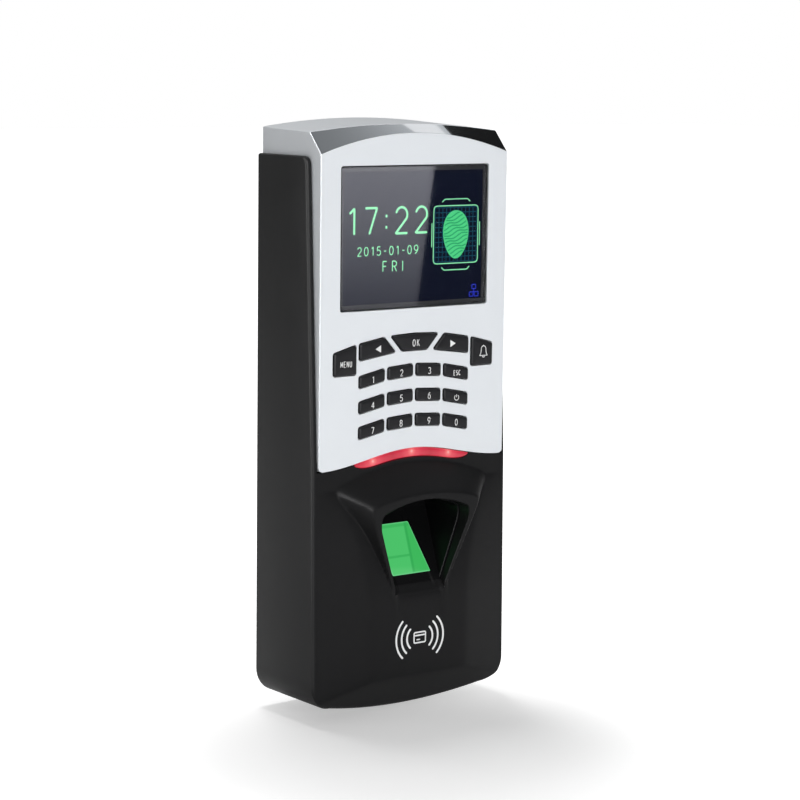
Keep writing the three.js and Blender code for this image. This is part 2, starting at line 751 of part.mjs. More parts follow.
function keyRow() {
  const list = [];
  const add = (name, corners) => list.push({ name, corners });
  const foot = (x) => functionArc(x) - functionKeyHeight;
  add('key_ok', [v2(-okFootHalf, foot(okFootHalf)), v2(okFootHalf, foot(okFootHalf)),
    v2(okTopHalf, functionArc(okTopHalf)), v2(0, functionArc(0)), v2(-okTopHalf, functionArc(okTopHalf))]);

  // The arrow keys and the tall outer keys come in mirrored pairs.
  const pair = (corners, side) => {
    const placed = corners.map((p) => v2(side * p.x, p.y));
    return side > 0 ? placed : placed.reverse();
  };
  const arrow = [v2(rowHalf, foot(rowHalf)), v2(rowHalf, functionArc(rowHalf)),
    v2(okTopHalf + arrowGap, functionArc(okTopHalf + arrowGap)),
    v2(okFootHalf + arrowGap, foot(okFootHalf + arrowGap))];
  add('key_left', pair(arrow, -1));
  add('key_right', pair(arrow, 1));
  const inner = rowHalf + tallKeyGap;
  const tallFootZ = level(functionDrop + tallKeyHeight);
  const tall = [v2(inner, tallFootZ), v2(tallKeyOuter, tallFootZ),
    v2(tallKeyOuter, functionArc(tallKeyOuter)), v2(inner, functionArc(inner))];
  add('key_menu', pair(tall, -1));
  add('key_bell', pair(tall, 1));

  const names = [['1', '2', '3', 'esc'], ['4', '5', '6', 'power'], ['7', '8', '9', '0']];
  names.forEach((rowNames, row) => rowNames.forEach((name, column) => {
    const x = (column - 1.5) * columnPitch;
    const [x0, x1] = [x - numberHalf, x + numberHalf];
    const [z0, z1] = [numberArc(row, x0), numberArc(row, x1)];
    add(`key_${name}`, [v2(x0, z0 - numberKeyHeight), v2(x1, z1 - numberKeyHeight), v2(x1, z1), v2(x0, z0)]);
  }));
  return list;
}

const keys = keyRow();

// A key: the cap that stands out of the silver face, and the lip behind the face.
function keyBody(corners) {
  const lipFront = depth(fasciaWall + gap);
  const cap = prism(rounded(corners, keyRound), frontY - keyProud, lipFront + weld);
  const lip = prism(grown(corners, keyLip), lipFront, lipFront + keyLipThickness);
  return cap.add(lip);
}

const matFront = fasciaWall + gap + keyLipThickness + keyTravel + gap;
const boardFront = matFront + matThickness + seatGap;
const matHalf = tallKeyOuter + matMargin;
const matTopZ = level(functionDrop) + matMargin;
const matFootZ = level(keyFieldFootDrop) - matMargin;

// The mat and its board share one outline.
const keypadLayer = (front, thickness) => {
  return block(-matHalf, matHalf, depth(front), depth(front + thickness), matFootZ, matTopZ);
};
const keypadMat = () => keypadLayer(matFront, matThickness);
const keypadBoard = () => keypadLayer(boardFront, boardThickness);

// Display

const windowMiddleZ = level(windowTopDrop + windowHeight / 2);
const frameOf = (margin, round = 0) => rectangle(
  -windowWidth / 2 - margin, windowWidth / 2 + margin,
  windowMiddleZ - windowHeight / 2 - margin, windowMiddleZ + windowHeight / 2 + margin, round,
);
const displayLens = () => {
  return prism(frameOf(-gap, windowRound), depth(lensSetback), depth(lensSetback + lensThickness));
};
const displayGasket = () => prism(frameOf(-gap), depth(gasketFront), depth(gasketFront + gasketThickness))
  .subtract(prism(frameOf(-gap - gasketWall), frontY, depth(lcdFront + over)));
const lcdPanel = () => prism(frameOf(lcdMargin), depth(lcdFront), depth(lcdFront + lcdThickness));
const lcdTray = () => prism(frameOf(trayOuter, trayWall), depth(lcdFront), depth(lcdFront + trayDepth))
  .subtract(prism(frameOf(lcdMargin + gap), frontY, depth(lcdFront + lcdThickness + gap)));

// Light bar

// Front-view outline of the light bar: the seam above, an offset line below, round ends.
function lightBarOutline(grow) {
  const steps = 16;
  const half = lightBarHalfLength + grow;
  const straight = lightBarHalfLength - lightBarEnd;
  const drop = (x) => {
    const into = Math.max(0, Math.abs(x) - straight) / (half - straight);
    return (lightBarHeight + grow) * Math.sqrt(Math.max(0, 1 - into ** 2));
  };
  const points = [];
  for (let i = 0; i <= steps; i += 1) {
    const x = -half * Math.cos(Math.PI * i / steps);
    points.push(v2(x, seamZ(x) - gap - drop(x)));
  }
  // The upper side meets the ends in a point, and in the grown outline it clears the seam.
  const lift = grow > 0 ? over : 0;
  const first = grow > 0 ? 0 : 1;
  for (let i = steps - first; i >= first; i -= 1) {
    const x = -half * Math.cos(Math.PI * i / steps);
    points.push(v2(x, seamZ(x) - gap + lift));
  }
  return points;
}

const lightBar = () => prism(lightBarOutline(0), depth(lightBarSetback), depth(lightBarBack));
const ledFront = lightBarBack + ledAirGap;

function ledBoard() {
  const half = lightBarHalfLength + ledBoardMargin;
  const middleZ = level(seamDrop + seamWave / 2);
  let board = block(-half, half, depth(ledFront), depth(ledFront + ledBoardThickness),
    middleZ - ledBoardHeight / 2, middleZ + ledBoardHeight / 2);
  for (const x of [-ledPitch, 0, ledPitch]) {
    const z = seamZ(x) - gap - lightBarHeight / 2;
    board = board.add(block(x - ledWidth / 2, x + ledWidth / 2, depth(ledFront - ledThickness),
      depth(ledFront) + weld, z - ledHeight / 2, z + ledHeight / 2));
  }
  return board;
}

// Finger guide and optical sensor

const sensorMiddleZ = level(floorFootDrop) + sensorFootRise + sensorLength / 2 / floorSlant;
const sensorMiddle = new THREE.Vector3(0, floorY(sensorMiddleZ, 0), sensorMiddleZ);
const sensorLean = Math.atan(floorTilt);

// A block set square to the finger floor, its face a given depth under the floor's surface.
function tiltedBlock(width, length, top, bottom) {
  const geometry = new THREE.BoxGeometry(width, bottom - top, length);
  geometry.translate(0, (top + bottom) / 2, 0);
  geometry.rotateX(-sensorLean);
  geometry.translate(sensorMiddle.x, sensorMiddle.y, sensorMiddle.z);
  return solid(geometry);
}

function fingerGuide() {
  const room = relief(innerColumns, innerRows, (x, z) => caseInnerY(x, z) + gap, 2 * over);
  const zLow = level(floorFootDrop) - 2 * over;
  const zHigh = level(rimDrop) + over;
  const shell = prism(recessOutline(liner), farFrontY, depth(recessDepth + liner))
    .intersect(room)
    .intersect(aboveFloor(liner, -bodyWidth, bodyWidth, zLow, zHigh));
  const cavity = prism(recessOutline(0), farFrontY, depth(recessDepth))
    .intersect(aboveFloor(0, -halfWidth, halfWidth, zLow - over, zHigh + over));
  const sensorWindow = tiltedBlock(sensorWidth + 2 * gap, sensorLength + 2 * gap, -over, liner + over);
  return shell.subtract(cavity).subtract(sensorWindow);
}

const sensorPrism = () => tiltedBlock(sensorWidth, sensorLength, sensorSetback, sensorThickness);
const moduleTop = sensorThickness + gap;
const moduleLength = sensorLength + 2 * moduleMargin;
const sensorModule = () => {
  return tiltedBlock(sensorWidth + 2 * moduleMargin, moduleLength, moduleTop, moduleTop + moduleDepth);
};

// Rear cover and wall plate

const coverHalf = capHalf - fasciaWall - gap;
const coverFootZ = level(bottomDrop - bottomSag) + caseWall + gap;
const coverTopZ = level(-roofCornerRise) - fasciaWall - gap;

// Outline that fits inside the case's rear rim: arched at the top and the foot.
function rearOutline(inset) {
  const half = coverHalf - inset;
  const steps = 14;
  const points = [];
  for (let i = 0; i <= steps; i += 1) {
    const x = -half * Math.cos(Math.PI * i / steps);
    const nearSide = Math.max(0, Math.abs(x) - (half - rearCornerRound)) / rearCornerRound;
    const round = rearCornerRound * (1 - Math.sqrt(Math.max(0, 1 - nearSide ** 2)));
    points.push(v2(x, bottomZ(x) + caseWall + gap + inset + round));
  }
  for (let i = 0; i <= steps; i += 1) {
    const x = THREE.MathUtils.lerp(half, -half, i / steps);
    points.push(v2(x, capTopZ(x, coverFrontY) - fasciaWall - 2 * gap - inset));
  }
  return points;
}

const hookTopZ = coverTopZ - hookDrop;
const cableMiddleZ = coverFootZ + cableWindowRise + cableWindowHeight / 2;
const cableWindow = rectangle(
  -cableWindowWidth / 2, cableWindowWidth / 2,
  cableMiddleZ - cableWindowHeight / 2, cableMiddleZ + cableWindowHeight / 2, cableWindowRound,
);
const slotLevels = [coverTopZ - slotHighDrop, cableMiddleZ + cableWindowHeight / 2 + slotLowRise];
const mainHalf = capHalf - fasciaWall - boardMargin;
const plungerX = mainHalf - plungerInset;
const plungerZ = level(windowBottomDrop + plungerDrop);
const speakerX = speakerInset - mainHalf;
const tabScrewY = -tabScrewReach;
const tabZ = level(bottomDrop) + caseWall + gap;
const postFrontY = depth(boardBack) + gap;

// Wall screw slot with round ends, lying across.
function slotOutline(x, z) {
  const run = slotLength / 2 - slotRadius;
  const steps = 6;
  const points = [];
  for (const side of [1, -1]) {
    for (let i = 0; i <= steps; i += 1) {
      const turn = Math.PI * i / steps;
      points.push(v2(x + side * (run + slotRadius * Math.sin(turn)), z - side * slotRadius * Math.cos(turn)));
    }
  }
  return points;
}

function rearCover() {
  let cover = prism(rearOutline(0), coverFrontY, coverBackY);
  for (const side of [-1, 1]) {
    for (const z of slotLevels) {
      const x = side * slotSpacing / 2;
      const halfX = slotLength / 2 + screwPocketMargin;
      const halfZ = slotRadius + screwPocketMargin;
      const floor = coverBackY - screwPocket;
      const wall = rearCoverThickness / 2;
      cover = cover.add(block(x - halfX - wall, x + halfX + wall, floor - wall, coverFrontY + weld,
        z - halfZ - wall, z + halfZ + wall));
      cover = cover.subtract(block(x - halfX, x + halfX, floor, over, z - halfZ, z + halfZ));
    }
    const boardPost = (x, z) => barY(x, z, boardPostRadius, postFrontY, coverFrontY + weld, 12);
    cover = cover.add(boardPost(side * mainPostX, mainTopZ - boardPostMargin))
      .add(boardPost(side * mainPostX, mainFootZ + boardPostMargin))
      .add(boardPost(side * powerPostX, cableMiddleZ));
    for (const z of [caseScrewLowZ, caseScrewHighZ]) {
      const x = side * caseScrewX;
      const headSeat = coverBackY - caseScrewHeadThickness - seatGap;
      cover = cover.subtract(barY(x, z, caseScrewRadius + gap, coverFrontY - over, over, 12));
      cover = cover.subtract(barY(x, z, caseScrewHeadRadius + gap, headSeat, over));
    }
    const hookX = side * hookSpacing / 2;
    const hookHalf = hookWidth / 2 + gap;
    cover = cover.subtract(block(hookX - hookHalf, hookX + hookHalf, coverFrontY - over, over,
      hookTopZ - hookThickness - gap, hookTopZ + hookLip + gap));
  }
  const tabHalf = tabWidth / 2 + gap;
  return cover.subtract(prism(cableWindow, coverFrontY - over, over))
    .subtract(barY(plungerX, plungerZ, plungerRadius + gap, coverFrontY - over, over, 12))
    .subtract(block(-tabHalf, tabHalf, coverFrontY - over, over, tabZ - over, tabZ + hookThickness + gap));
}

function wallPlate() {
  let plate = prism(rearOutline(wallPlateInset), plateFrontY, 0).subtract(prism(cableWindow, -over, over));
  const hookTipY = coverFrontY - hookReach;
  for (const side of [-1, 1]) {
    for (const z of slotLevels) {
      plate = plate.subtract(prism(slotOutline(side * slotSpacing / 2, z), -over, over));
    }
    const x = side * hookSpacing / 2;
    const [x0, x1] = [x - hookWidth / 2, x + hookWidth / 2];
    const hookFoot = hookTopZ - hookThickness;
    plate = plate.add(block(x0, x1, hookTipY, plateFrontY + weld, hookFoot, hookTopZ))
      .add(block(x0, x1, hookTipY, hookTipY + hookThickness, hookFoot, hookTopZ + hookLip));
  }
  const tabHalf = tabWidth / 2;
  const tabTop = tabZ + hookThickness;
  plate = plate.add(block(-tabHalf, tabHalf, -tabReach, -weld, tabZ, tabTop));
  plate = plate.add(block(-tabHalf, tabHalf, plateFrontY, 0, tabZ, tabTop + 2 * wallPlateInset));
  return plate.subtract(barZ(0, tabScrewY, securityScrewRadius + screwPlay, tabZ - over, tabTop + over, 12));
}

function securityScrew() {
  const foot = level(bottomDrop) + seatGap;
  const headTop = foot + securityHeadThickness;
  return barZ(0, tabScrewY, securityHeadRadius, foot, headTop)
    .add(barZ(0, tabScrewY, securityScrewRadius, headTop - weld, foot + securityScrewLength, 12));
}

// Boards and frame inside

const mainTopZ = level(mainBoardDrop);
const mainFootZ = level(seamDrop + seamWave) + mainBoardFootRise;
const mainPostX = mainHalf - boardPostInset;
const powerHalf = caseScrewX - postRadius - seatGap - gap;
const powerPostX = powerHalf - boardPostInset;
const powerHalfHeight = cableWindowHeight / 2 + powerBoardMargin;

const mainBoard = () => {
  return block(-mainHalf, mainHalf, depth(mainBoardFront), depth(boardBack), mainFootZ, mainTopZ);
};
const powerBoard = () => block(-powerHalf, powerHalf, depth(mainBoardFront), depth(boardBack),
  cableMiddleZ - powerHalfHeight, cableMiddleZ + powerHalfHeight);

function innerFrame() {
  const frameBack = frameFront + frameThickness;
  let frame = block(-coverHalf, coverHalf, depth(frameFront), depth(frameBack),
    level(seamDrop) + frameRib, level(-frameTopRise));
  const ribHalf = frameScrewX - frameBossRadius - frameRib;
  for (const foot of [matFootZ + frameRibInset, matTopZ - frameRibInset - frameRib]) {
    frame = frame.add(block(-ribHalf, ribHalf, depth(boardFront + boardThickness) + seatGap,
      depth(frameFront) + weld, foot, foot + frameRib));
  }
  const slotHalf = flexHalfWidth + frameRib;
  const slotMiddle = windowMiddleZ - flexDrop - flexThickness / 2;
  frame = frame.subtract(block(-slotHalf, slotHalf, depth(frameFront) - over, depth(frameBack) + over,
    slotMiddle - frameRib, slotMiddle + frameRib));
  for (const side of [-1, 1]) {
    for (const z of [frameScrewLowZ, frameScrewHighZ]) {
      frame = frame.subtract(barY(side * frameScrewX, z, frameScrewRadius + gap, depth(frameFront) - over,
        depth(frameBack) + over, 12));
    }
  }
  return frame;
}

// A part soldered on a board, of a width and height around (x, z) and from y0 to y1.
function chip(x, z, width, height, y0, y1) {
  return block(x - width / 2, x + width / 2, y0, y1, z - height / 2, z + height / 2);
}

const onBoardFront = (thickness) => {
  const back = depth(mainBoardFront) - seatGap;
  return [back - thickness, back];
};
const onBoardBack = (thickness) => {
  const front = depth(boardBack) + seatGap;
  return [front, front + thickness];
};

// A screw along Y, its head at the back.
function screw(x, z, headBack, headRadius, headThickness, shankRadius, length) {
  const headFront = headBack - headThickness;
  return barY(x, z, headRadius, headFront, headBack)
    .add(barY(x, z, shankRadius, headFront - length, headFront + weld, 12));
}

// Reader coil board, flat against the inside of the raised panel.
function coilBoard() {
  const front = depth(-panelProud + caseWall + gap);
  const top = level(floorFootDrop + coilBoardDrop);
  return block(-coilBoardHalfWidth, coilBoardHalfWidth, front, front + coilBoardThickness,
    top - coilBoardHeight, top);
}

// Speaker: a round frame with its magnet, against the rear cover.
function speaker() {
  const z = level(rimCornerDrop + speakerDrop);
  const back = coverFrontY - seatGap;
  const magnetBack = back - speakerThickness;
  return barY(speakerX, z, speakerRadius, magnetBack, back, 24)
    .add(barY(speakerX, z, speakerRadius / 2, magnetBack - magnetThickness, magnetBack + weld, 20));
}

function buzzer() {
  const [y0, y1] = onBoardBack(buzzerThickness);
  const z = mainTopZ - buzzerDrop;
  return barY(speakerX, z, buzzerRadius, y0, y1, 20)
    .subtract(barY(speakerX, z, soundHoleRadius, (y0 + y1) / 2, y1 + over, 10));
}

// Clock battery in its open clip.
const cellZ = mainTopZ - buzzerDrop;
function cellHolder() {
  const [y0, y1] = onBoardBack(boreFloor + cellThickness);
  const side = 2 * (cellRadius + gap + cellClipWall);
  return chip(cellX, cellZ, side, side, y0, y1)
    .subtract(barY(cellX, cellZ, cellRadius + gap, y0 + boreFloor, y1 + over, 24));
}
function coinCell() {
  const y0 = onBoardBack(0)[0] + boreFloor + seatGap;
  return barY(cellX, cellZ, cellRadius, y0, y0 + cellThickness, 24);
}

// Tamper switch: a plunger that the wall plate covers, in a body on the main board.
function tamperSwitch() {
  const [y0, y1] = onBoardBack(switchHeight);
  return chip(plungerX, plungerZ, switchWidth, switchWidth, y0, y1)
    .subtract(barY(plungerX, plungerZ, plungerRadius + gap, y0 + boreFloor, y1 + over, 12));
}
function tamperPlunger() {
  const y0 = onBoardBack(0)[0] + boreFloor + plungerTravel + gap;
  return barY(plungerX, plungerZ, plungerRadius, y0, plateFrontY - gap, 12);
}

const chipZ = mainTopZ - chipDrop;
const relayX = powerPostX - boardPostRadius - relayWidth;
const memoryX = processorSize / 2 + memoryWidth;
const relay = () => chip(relayX, cableMiddleZ, relayWidth, relayHeight, ...onBoardFront(relayThickness));
const processor = () => chip(0, chipZ, processorSize, processorSize, ...onBoardFront(chipThickness));
const memoryChip = () => chip(memoryX, chipZ, memoryWidth, memoryHeight, ...onBoardFront(chipThickness));

// Terminal blocks with a row of wire entries towards the wall, and the network socket beside them.
const socketX = -cableWindowWidth / 2 + socketInset;
const blockWidth = (ways) => (ways + 0.3) * terminalPitch;
const leftBlockX = socketX + socketWidth / 2 + terminalGap / 2 + blockWidth(leftWays) / 2;
const rightBlockX = leftBlockX + blockWidth(leftWays) / 2 + terminalGap + blockWidth(rightWays) / 2;

function terminalBlock(x, ways) {
  const [y0, y1] = onBoardBack(terminalDepth);
  let body = chip(x, cableMiddleZ, blockWidth(ways), terminalHeight, y0, y1);
  for (let i = 0; i < ways; i += 1) {
    const wayX = x + (i - (ways - 1) / 2) * terminalPitch;
    body = body.subtract(chip(wayX, cableMiddleZ, wireEntry, wireEntry, y1 - wireEntryDepth, y1 + over));
  }
  return body;
}

function networkSocket() {
  const [y0, y1] = onBoardBack(socketDepth);
  return chip(socketX, cableMiddleZ, socketWidth, socketHeight, y0, y1)
    .subtract(chip(socketX, cableMiddleZ, plugWidth, plugHeight, y0 + socketWall, y1 + over));
}

// Flat cable from the display tray through the inner frame to the main board, folded at both ends.
function displayFlex() {
  const y0 = depth(lcdFront + trayDepth) + 2 * seatGap;
  const y1 = depth(mainBoardFront) - 2 * seatGap;
  const top = windowMiddleZ - flexDrop;
  const foot = top - flexThickness;
  return slab([
    v2(y0, foot), v2(y1 - flexThickness, foot),
    v2(y1 - flexThickness, top - flexFold), v2(y1, top - flexFold),
    v2(y1, top), v2(y0 + flexThickness, top),
    v2(y0 + flexThickness, top + flexFold), v2(y0, top + flexFold),
  ], -flexHalfWidth, flexHalfWidth);
}

// Flat cable from the sensor module's upper end to its connector on the main board.
function sensorCable() {
  const back = depth(mainBoardFront) - gap;
  const front = back - flexThickness;
  const moduleEndZ = sensorMiddle.z + moduleLength / 2 * floorSlant - (front - sensorMiddle.y) * floorTilt;
  const connectorFoot = mainFootZ + gap;
  return block(-sensorCableHalf, sensorCableHalf, front, back, moduleEndZ + gap, connectorFoot + weld)
    .add(block(-cableConnectorHalf, cableConnectorHalf, back - cableConnectorDepth, back,
      connectorFoot, connectorFoot + cableConnectorHeight));
}

// Materials, with the colours of the photographed finishes

const finish = (color, roughness, metalness = 0) => {
  return new THREE.MeshStandardMaterial({ color, roughness, metalness });
};
const blackPlastic = finish('#262627', 0.55);
const silverPaint = finish('#dfe4e7', 0.32, 0.35);
const keyPlastic = finish('#303032', 0.45);
const lensGlass = finish('#12141f', 0.08);
const redLens = finish('#e0304a', 0.25);
const greenGlass = finish('#3fc763', 0.1);
const steel = finish('#b5b8bb', 0.4, 0.9);
const boardGreen = finish('#1d5b38', 0.5);
const chipBlack = finish('#151515', 0.6);
const rubber = finish('#3a3a3a', 0.9);
const flexAmber = finish('#b9791f', 0.5);
const screwSteel = finish('#8d9094', 0.35, 0.95);
const terminalGreen = finish('#2f8a4c', 0.5);

// Assembly

const terminal = new THREE.Group();

function place(name, body, material) {
  const mesh = body.getMesh();
  const geometry = new THREE.BufferGeometry();
  geometry.setAttribute('position', new THREE.BufferAttribute(mesh.vertProperties, 3));
  geometry.setIndex(new THREE.BufferAttribute(mesh.triVerts, 1));
  geometry.computeVertexNormals();
  const part = new THREE.Mesh(geometry, material);
  part.name = name;
  terminal.add(part);
}

place('front_case', frontCase(), blackPlastic);
place('silver_cap', silverCap(), silverPaint);
place('display_lens', displayLens(), lensGlass);
place('display_gasket', displayGasket(), rubber);
place('lcd_panel', lcdPanel(), lensGlass);
place('lcd_tray', lcdTray(), steel);
for (const key of keys) place(key.name, keyBody(key.corners), keyPlastic);
place('keypad_mat', keypadMat(), rubber);
place('keypad_board', keypadBoard(), boardGreen);
place('light_bar', lightBar(), redLens);
place('led_board', ledBoard(), boardGreen);
place('inner_frame', innerFrame(), blackPlastic);
place('finger_guide', fingerGuide(), blackPlastic);
place('sensor_prism', sensorPrism(), greenGlass);
place('sensor_module', sensorModule(), chipBlack);
place('rear_cover', rearCover(), blackPlastic);
place('wall_plate', wallPlate(), steel);
place('main_board', mainBoard(), boardGreen);
place('power_board', powerBoard(), boardGreen);
place('network_socket', networkSocket(), steel);
place('terminal_block_left', terminalBlock(leftBlockX, leftWays), terminalGreen);
place('terminal_block_right', terminalBlock(rightBlockX, rightWays), terminalGreen);
place('relay', relay(), chipBlack);
place('processor', processor(), chipBlack);
place('memory_chip', memoryChip(), chipBlack);
place('reader_coil_board', coilBoard(), boardGreen);
place('speaker', speaker(), steel);
place('buzzer', buzzer(), chipBlack);
place('cell_holder', cellHolder(), chipBlack);
place('coin_cell', coinCell(), steel);
place('tamper_switch', tamperSwitch(), chipBlack);
place('tamper_plunger', tamperPlunger(), keyPlastic);

const corners = (high, low) => [[-1, high], [1, high], [-1, low], [1, low]];
corners(caseScrewHighZ, caseScrewLowZ).forEach(([side, z], i) => {
  const body = screw(side * caseScrewX, z, coverBackY - seatGap, caseScrewHeadRadius, caseScrewHeadThickness,
    caseScrewRadius, caseScrewLength);
  place(`case_screw_${i + 1}`, body, screwSteel);
});
const frameHeadBack = depth(frameFront + frameThickness) + seatGap + frameScrewHeadThickness;
corners(frameScrewHighZ, frameScrewLowZ).forEach(([side, z], i) => {
  const body = screw(side * frameScrewX, z, frameHeadBack, frameScrewHeadRadius, frameScrewHeadThickness,
    frameScrewRadius, frameScrewLength);
  place(`frame_screw_${i + 1}`, body, screwSteel);
});
place('security_screw', securityScrew(), screwSteel);
place('display_flex', displayFlex(), flexAmber);
place('sensor_cable', sensorCable(), flexAmber);

export default terminal;
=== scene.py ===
import json
import math

import bmesh
import bpy
import numpy as np
from mathutils import Matrix, Vector
from mathutils.geometry import tessellate_polygon


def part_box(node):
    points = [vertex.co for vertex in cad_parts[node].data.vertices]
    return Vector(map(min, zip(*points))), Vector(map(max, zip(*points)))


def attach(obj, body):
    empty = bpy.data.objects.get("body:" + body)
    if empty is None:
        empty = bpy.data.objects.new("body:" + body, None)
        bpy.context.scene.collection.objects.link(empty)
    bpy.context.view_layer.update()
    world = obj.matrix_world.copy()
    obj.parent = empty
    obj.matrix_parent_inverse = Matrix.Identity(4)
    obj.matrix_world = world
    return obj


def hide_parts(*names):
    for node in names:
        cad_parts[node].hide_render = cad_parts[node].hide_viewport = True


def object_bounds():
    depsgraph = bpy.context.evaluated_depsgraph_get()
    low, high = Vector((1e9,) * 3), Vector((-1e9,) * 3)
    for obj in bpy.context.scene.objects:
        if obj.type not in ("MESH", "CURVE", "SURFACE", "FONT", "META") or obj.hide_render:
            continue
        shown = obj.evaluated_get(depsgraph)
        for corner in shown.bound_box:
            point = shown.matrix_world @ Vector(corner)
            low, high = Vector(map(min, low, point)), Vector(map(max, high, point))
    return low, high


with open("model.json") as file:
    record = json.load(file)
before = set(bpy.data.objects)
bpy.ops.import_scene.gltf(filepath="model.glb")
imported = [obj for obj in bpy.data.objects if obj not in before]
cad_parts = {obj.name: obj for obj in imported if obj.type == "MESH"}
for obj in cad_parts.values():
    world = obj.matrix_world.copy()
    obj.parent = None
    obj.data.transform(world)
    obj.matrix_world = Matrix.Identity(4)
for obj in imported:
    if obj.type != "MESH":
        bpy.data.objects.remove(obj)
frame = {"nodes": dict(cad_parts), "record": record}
cad_box = [list(corner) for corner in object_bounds()]

# Camera
# Stands off to the terminal's left, a little above its middle, with a long lens as in a catalogue
# photograph. It is built from its own three axes, so that it looks along them exactly.

camera_place = Vector((-0.50293, -0.68848, 0.12167))
camera_right = Vector((0.79687856, -0.60400888, 0.0125631))
camera_up = Vector((0.07434441, 0.11867833, 0.99014563))
camera_ahead = Vector((0.59954772, 0.78809183, -0.1394769))
lens_data = bpy.data.cameras.new("camera")
lens_data.lens = 108.29
lens_data.sensor_width = 36
camera = bpy.data.objects.new("camera", lens_data)
camera_turn = Matrix((camera_right, camera_up, -camera_ahead)).transposed()
camera.matrix_world = Matrix.Translation(camera_place) @ camera_turn.to_4x4()
bpy.context.collection.objects.link(camera)
bpy.context.scene.camera = camera

# Wall plate
# Zinc-plated steel sheet, pressed and punched: slots for the wall screws, two hooks that carry the
# case, and a foot tab. Its cut edges are slightly broken, which a narrow bevel gives.


def shade(red, green, blue):
    """Turns screen values from 0 to 255 into the linear colour that a shader takes."""
    screen = np.array([red, green, blue]) / 255
    linear = np.where(screen <= 0.04045, screen / 12.92, ((screen + 0.055) / 1.055) ** 2.4)
    return (*linear.tolist(), 1.0)


def ranged(tree, value, start, end, low=0.0, high=1.0, growth="LINEAR"):
    """A number that goes from `low` to `high` while a node's value goes from `start` to `end`."""
    node = tree.nodes.new("ShaderNodeMapRange")
    node.interpolation_type = growth
    for socket, number in (("From Min", start), ("From Max", end), ("To Min", low), ("To Max", high)):
        node.inputs[socket].default_value = number
    tree.links.new(value, node.inputs["Value"])
    return node.outputs["Result"]


def finish(name, colour, roughness, grain=0.4, relief=0.01, mottle=0.06, metal=0.0, **extra):
    """A moulded, painted or plated finish. Soft patches of noise about two centimetres wide vary
    the colour and the roughness by `mottle`, and a fine noise of `grain` millimetres raises a bump
    of `relief` millimetres. All of it reads Object coordinates. `extra` sets plain shader sockets."""
    material = bpy.data.materials.new(name)
    material.use_nodes = True
    nodes, links = material.node_tree.nodes, material.node_tree.links
    shader = nodes["Principled BSDF"]
    shader.inputs["Metallic"].default_value = metal
    for socket, value in extra.items():
        shader.inputs[socket.replace("_", " ")].default_value = value
    place = nodes.new("ShaderNodeTexCoord").outputs["Object"]
    patches = nodes.new("ShaderNodeTexNoise")
    patches.inputs["Scale"].default_value = 55
    patches.inputs["Detail"].default_value = 4
    links.new(place, patches.inputs["Vector"])
    tone = nodes.new("ShaderNodeMix")
    tone.data_type = "RGBA"
    dark = [channel * (1 - mottle) for channel in colour[:3]]
    light = [min(1, channel * (1 + mottle)) for channel in colour[:3]]
    tone.inputs["A"].default_value = (*dark, 1)
    tone.inputs["B"].default_value = (*light, 1)
    links.new(patches.outputs["Fac"], tone.inputs["Factor"])
    links.new(tone.outputs["Result"], shader.inputs["Base Color"])
    gloss = ranged(material.node_tree, patches.outputs["Fac"], 0.0, 1.0,
                   roughness * (1 - 2 * mottle), roughness * (1 + 2 * mottle))
    links.new(gloss, shader.inputs["Roughness"])
    fine = nodes.new("ShaderNodeTexNoise")
    fine.inputs["Scale"].default_value = 1000 / grain
    fine.inputs["Detail"].default_value = 2
    links.new(place, fine.inputs["Vector"])
    bump = nodes.new("ShaderNodeBump")
    bump.inputs["Distance"].default_value = relief / 1000
    links.new(fine.outputs["Fac"], bump.inputs["Height"])
    links.new(bump.outputs["Normal"], shader.inputs["Normal"])
    return material


def smooth_piece(name, mesh, material, crease):
    """An object of one material whose faces are smooth, except along edges sharper than `crease`
    degrees."""
    mesh.materials.append(material)
    mesh.polygons.foreach_set("use_smooth", np.ones(len(mesh.polygons), bool))
    mesh.set_sharp_from_angle(angle=math.radians(crease))
    piece = bpy.data.objects.new(name, mesh)
    bpy.context.collection.objects.link(piece)
    return piece


def eased_copy(node, material, edge):
    """A fine stand-in for a CAD node: its loose triangles are merged, its flat areas joined, and
    every edge sharper than 40 degrees gets a rounded bevel `edge` millimetres wide."""
    mesh = frame["nodes"][node].data.copy()
    builder = bmesh.new()
    builder.from_mesh(mesh)
    bmesh.ops.remove_doubles(builder, verts=builder.verts, dist=2e-6)
    bmesh.ops.dissolve_limit(builder, angle_limit=math.radians(0.5), verts=builder.verts,
                             edges=builder.edges)
    bmesh.ops.triangulate(builder, faces=builder.faces)
    builder.to_mesh(mesh)
    builder.free()
    mesh.materials.clear()
    piece = smooth_piece(node + "_finished", mesh, material, 34)
    flats = piece.modifiers.new("flats", "DECIMATE")
    flats.decimate_type = "DISSOLVE"
    flats.angle_limit = math.radians(0.5)
    bevel = piece.modifiers.new("broken edges", "BEVEL")
    bevel.width = edge / 1000
    bevel.segments = 2
    bevel.limit_method = "ANGLE"
    bevel.angle_limit = math.radians(40)
    bevel.harden_normals = True
    piece.modifiers.new("flat faces", "WEIGHTED_NORMAL").keep_sharp = True
    body = next(b for b, nodes in frame["record"]["behaviour"]["bodies"].items() if node in nodes)
    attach(piece, body)
    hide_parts(node)


zinc_plate = finish("zinc plate", shade(186, 189, 192), 0.34, grain=1.6, relief=0.012, mottle=0.1,
                    metal=0.9)
eased_copy("wall_plate", zinc_plate, edge=0.25)
screw_steel = finish("screw steel", shade(150, 153, 157), 0.3, grain=0.25, relief=0.01, mottle=0.1,
                     metal=1.0)
eased_copy("security_screw", screw_steel, edge=0.2)

# Rear cover
# Black moulding like the case, screwed on from behind by four screws. It has pockets for the wall
# screws' heads, board posts, and a large window for the cables.

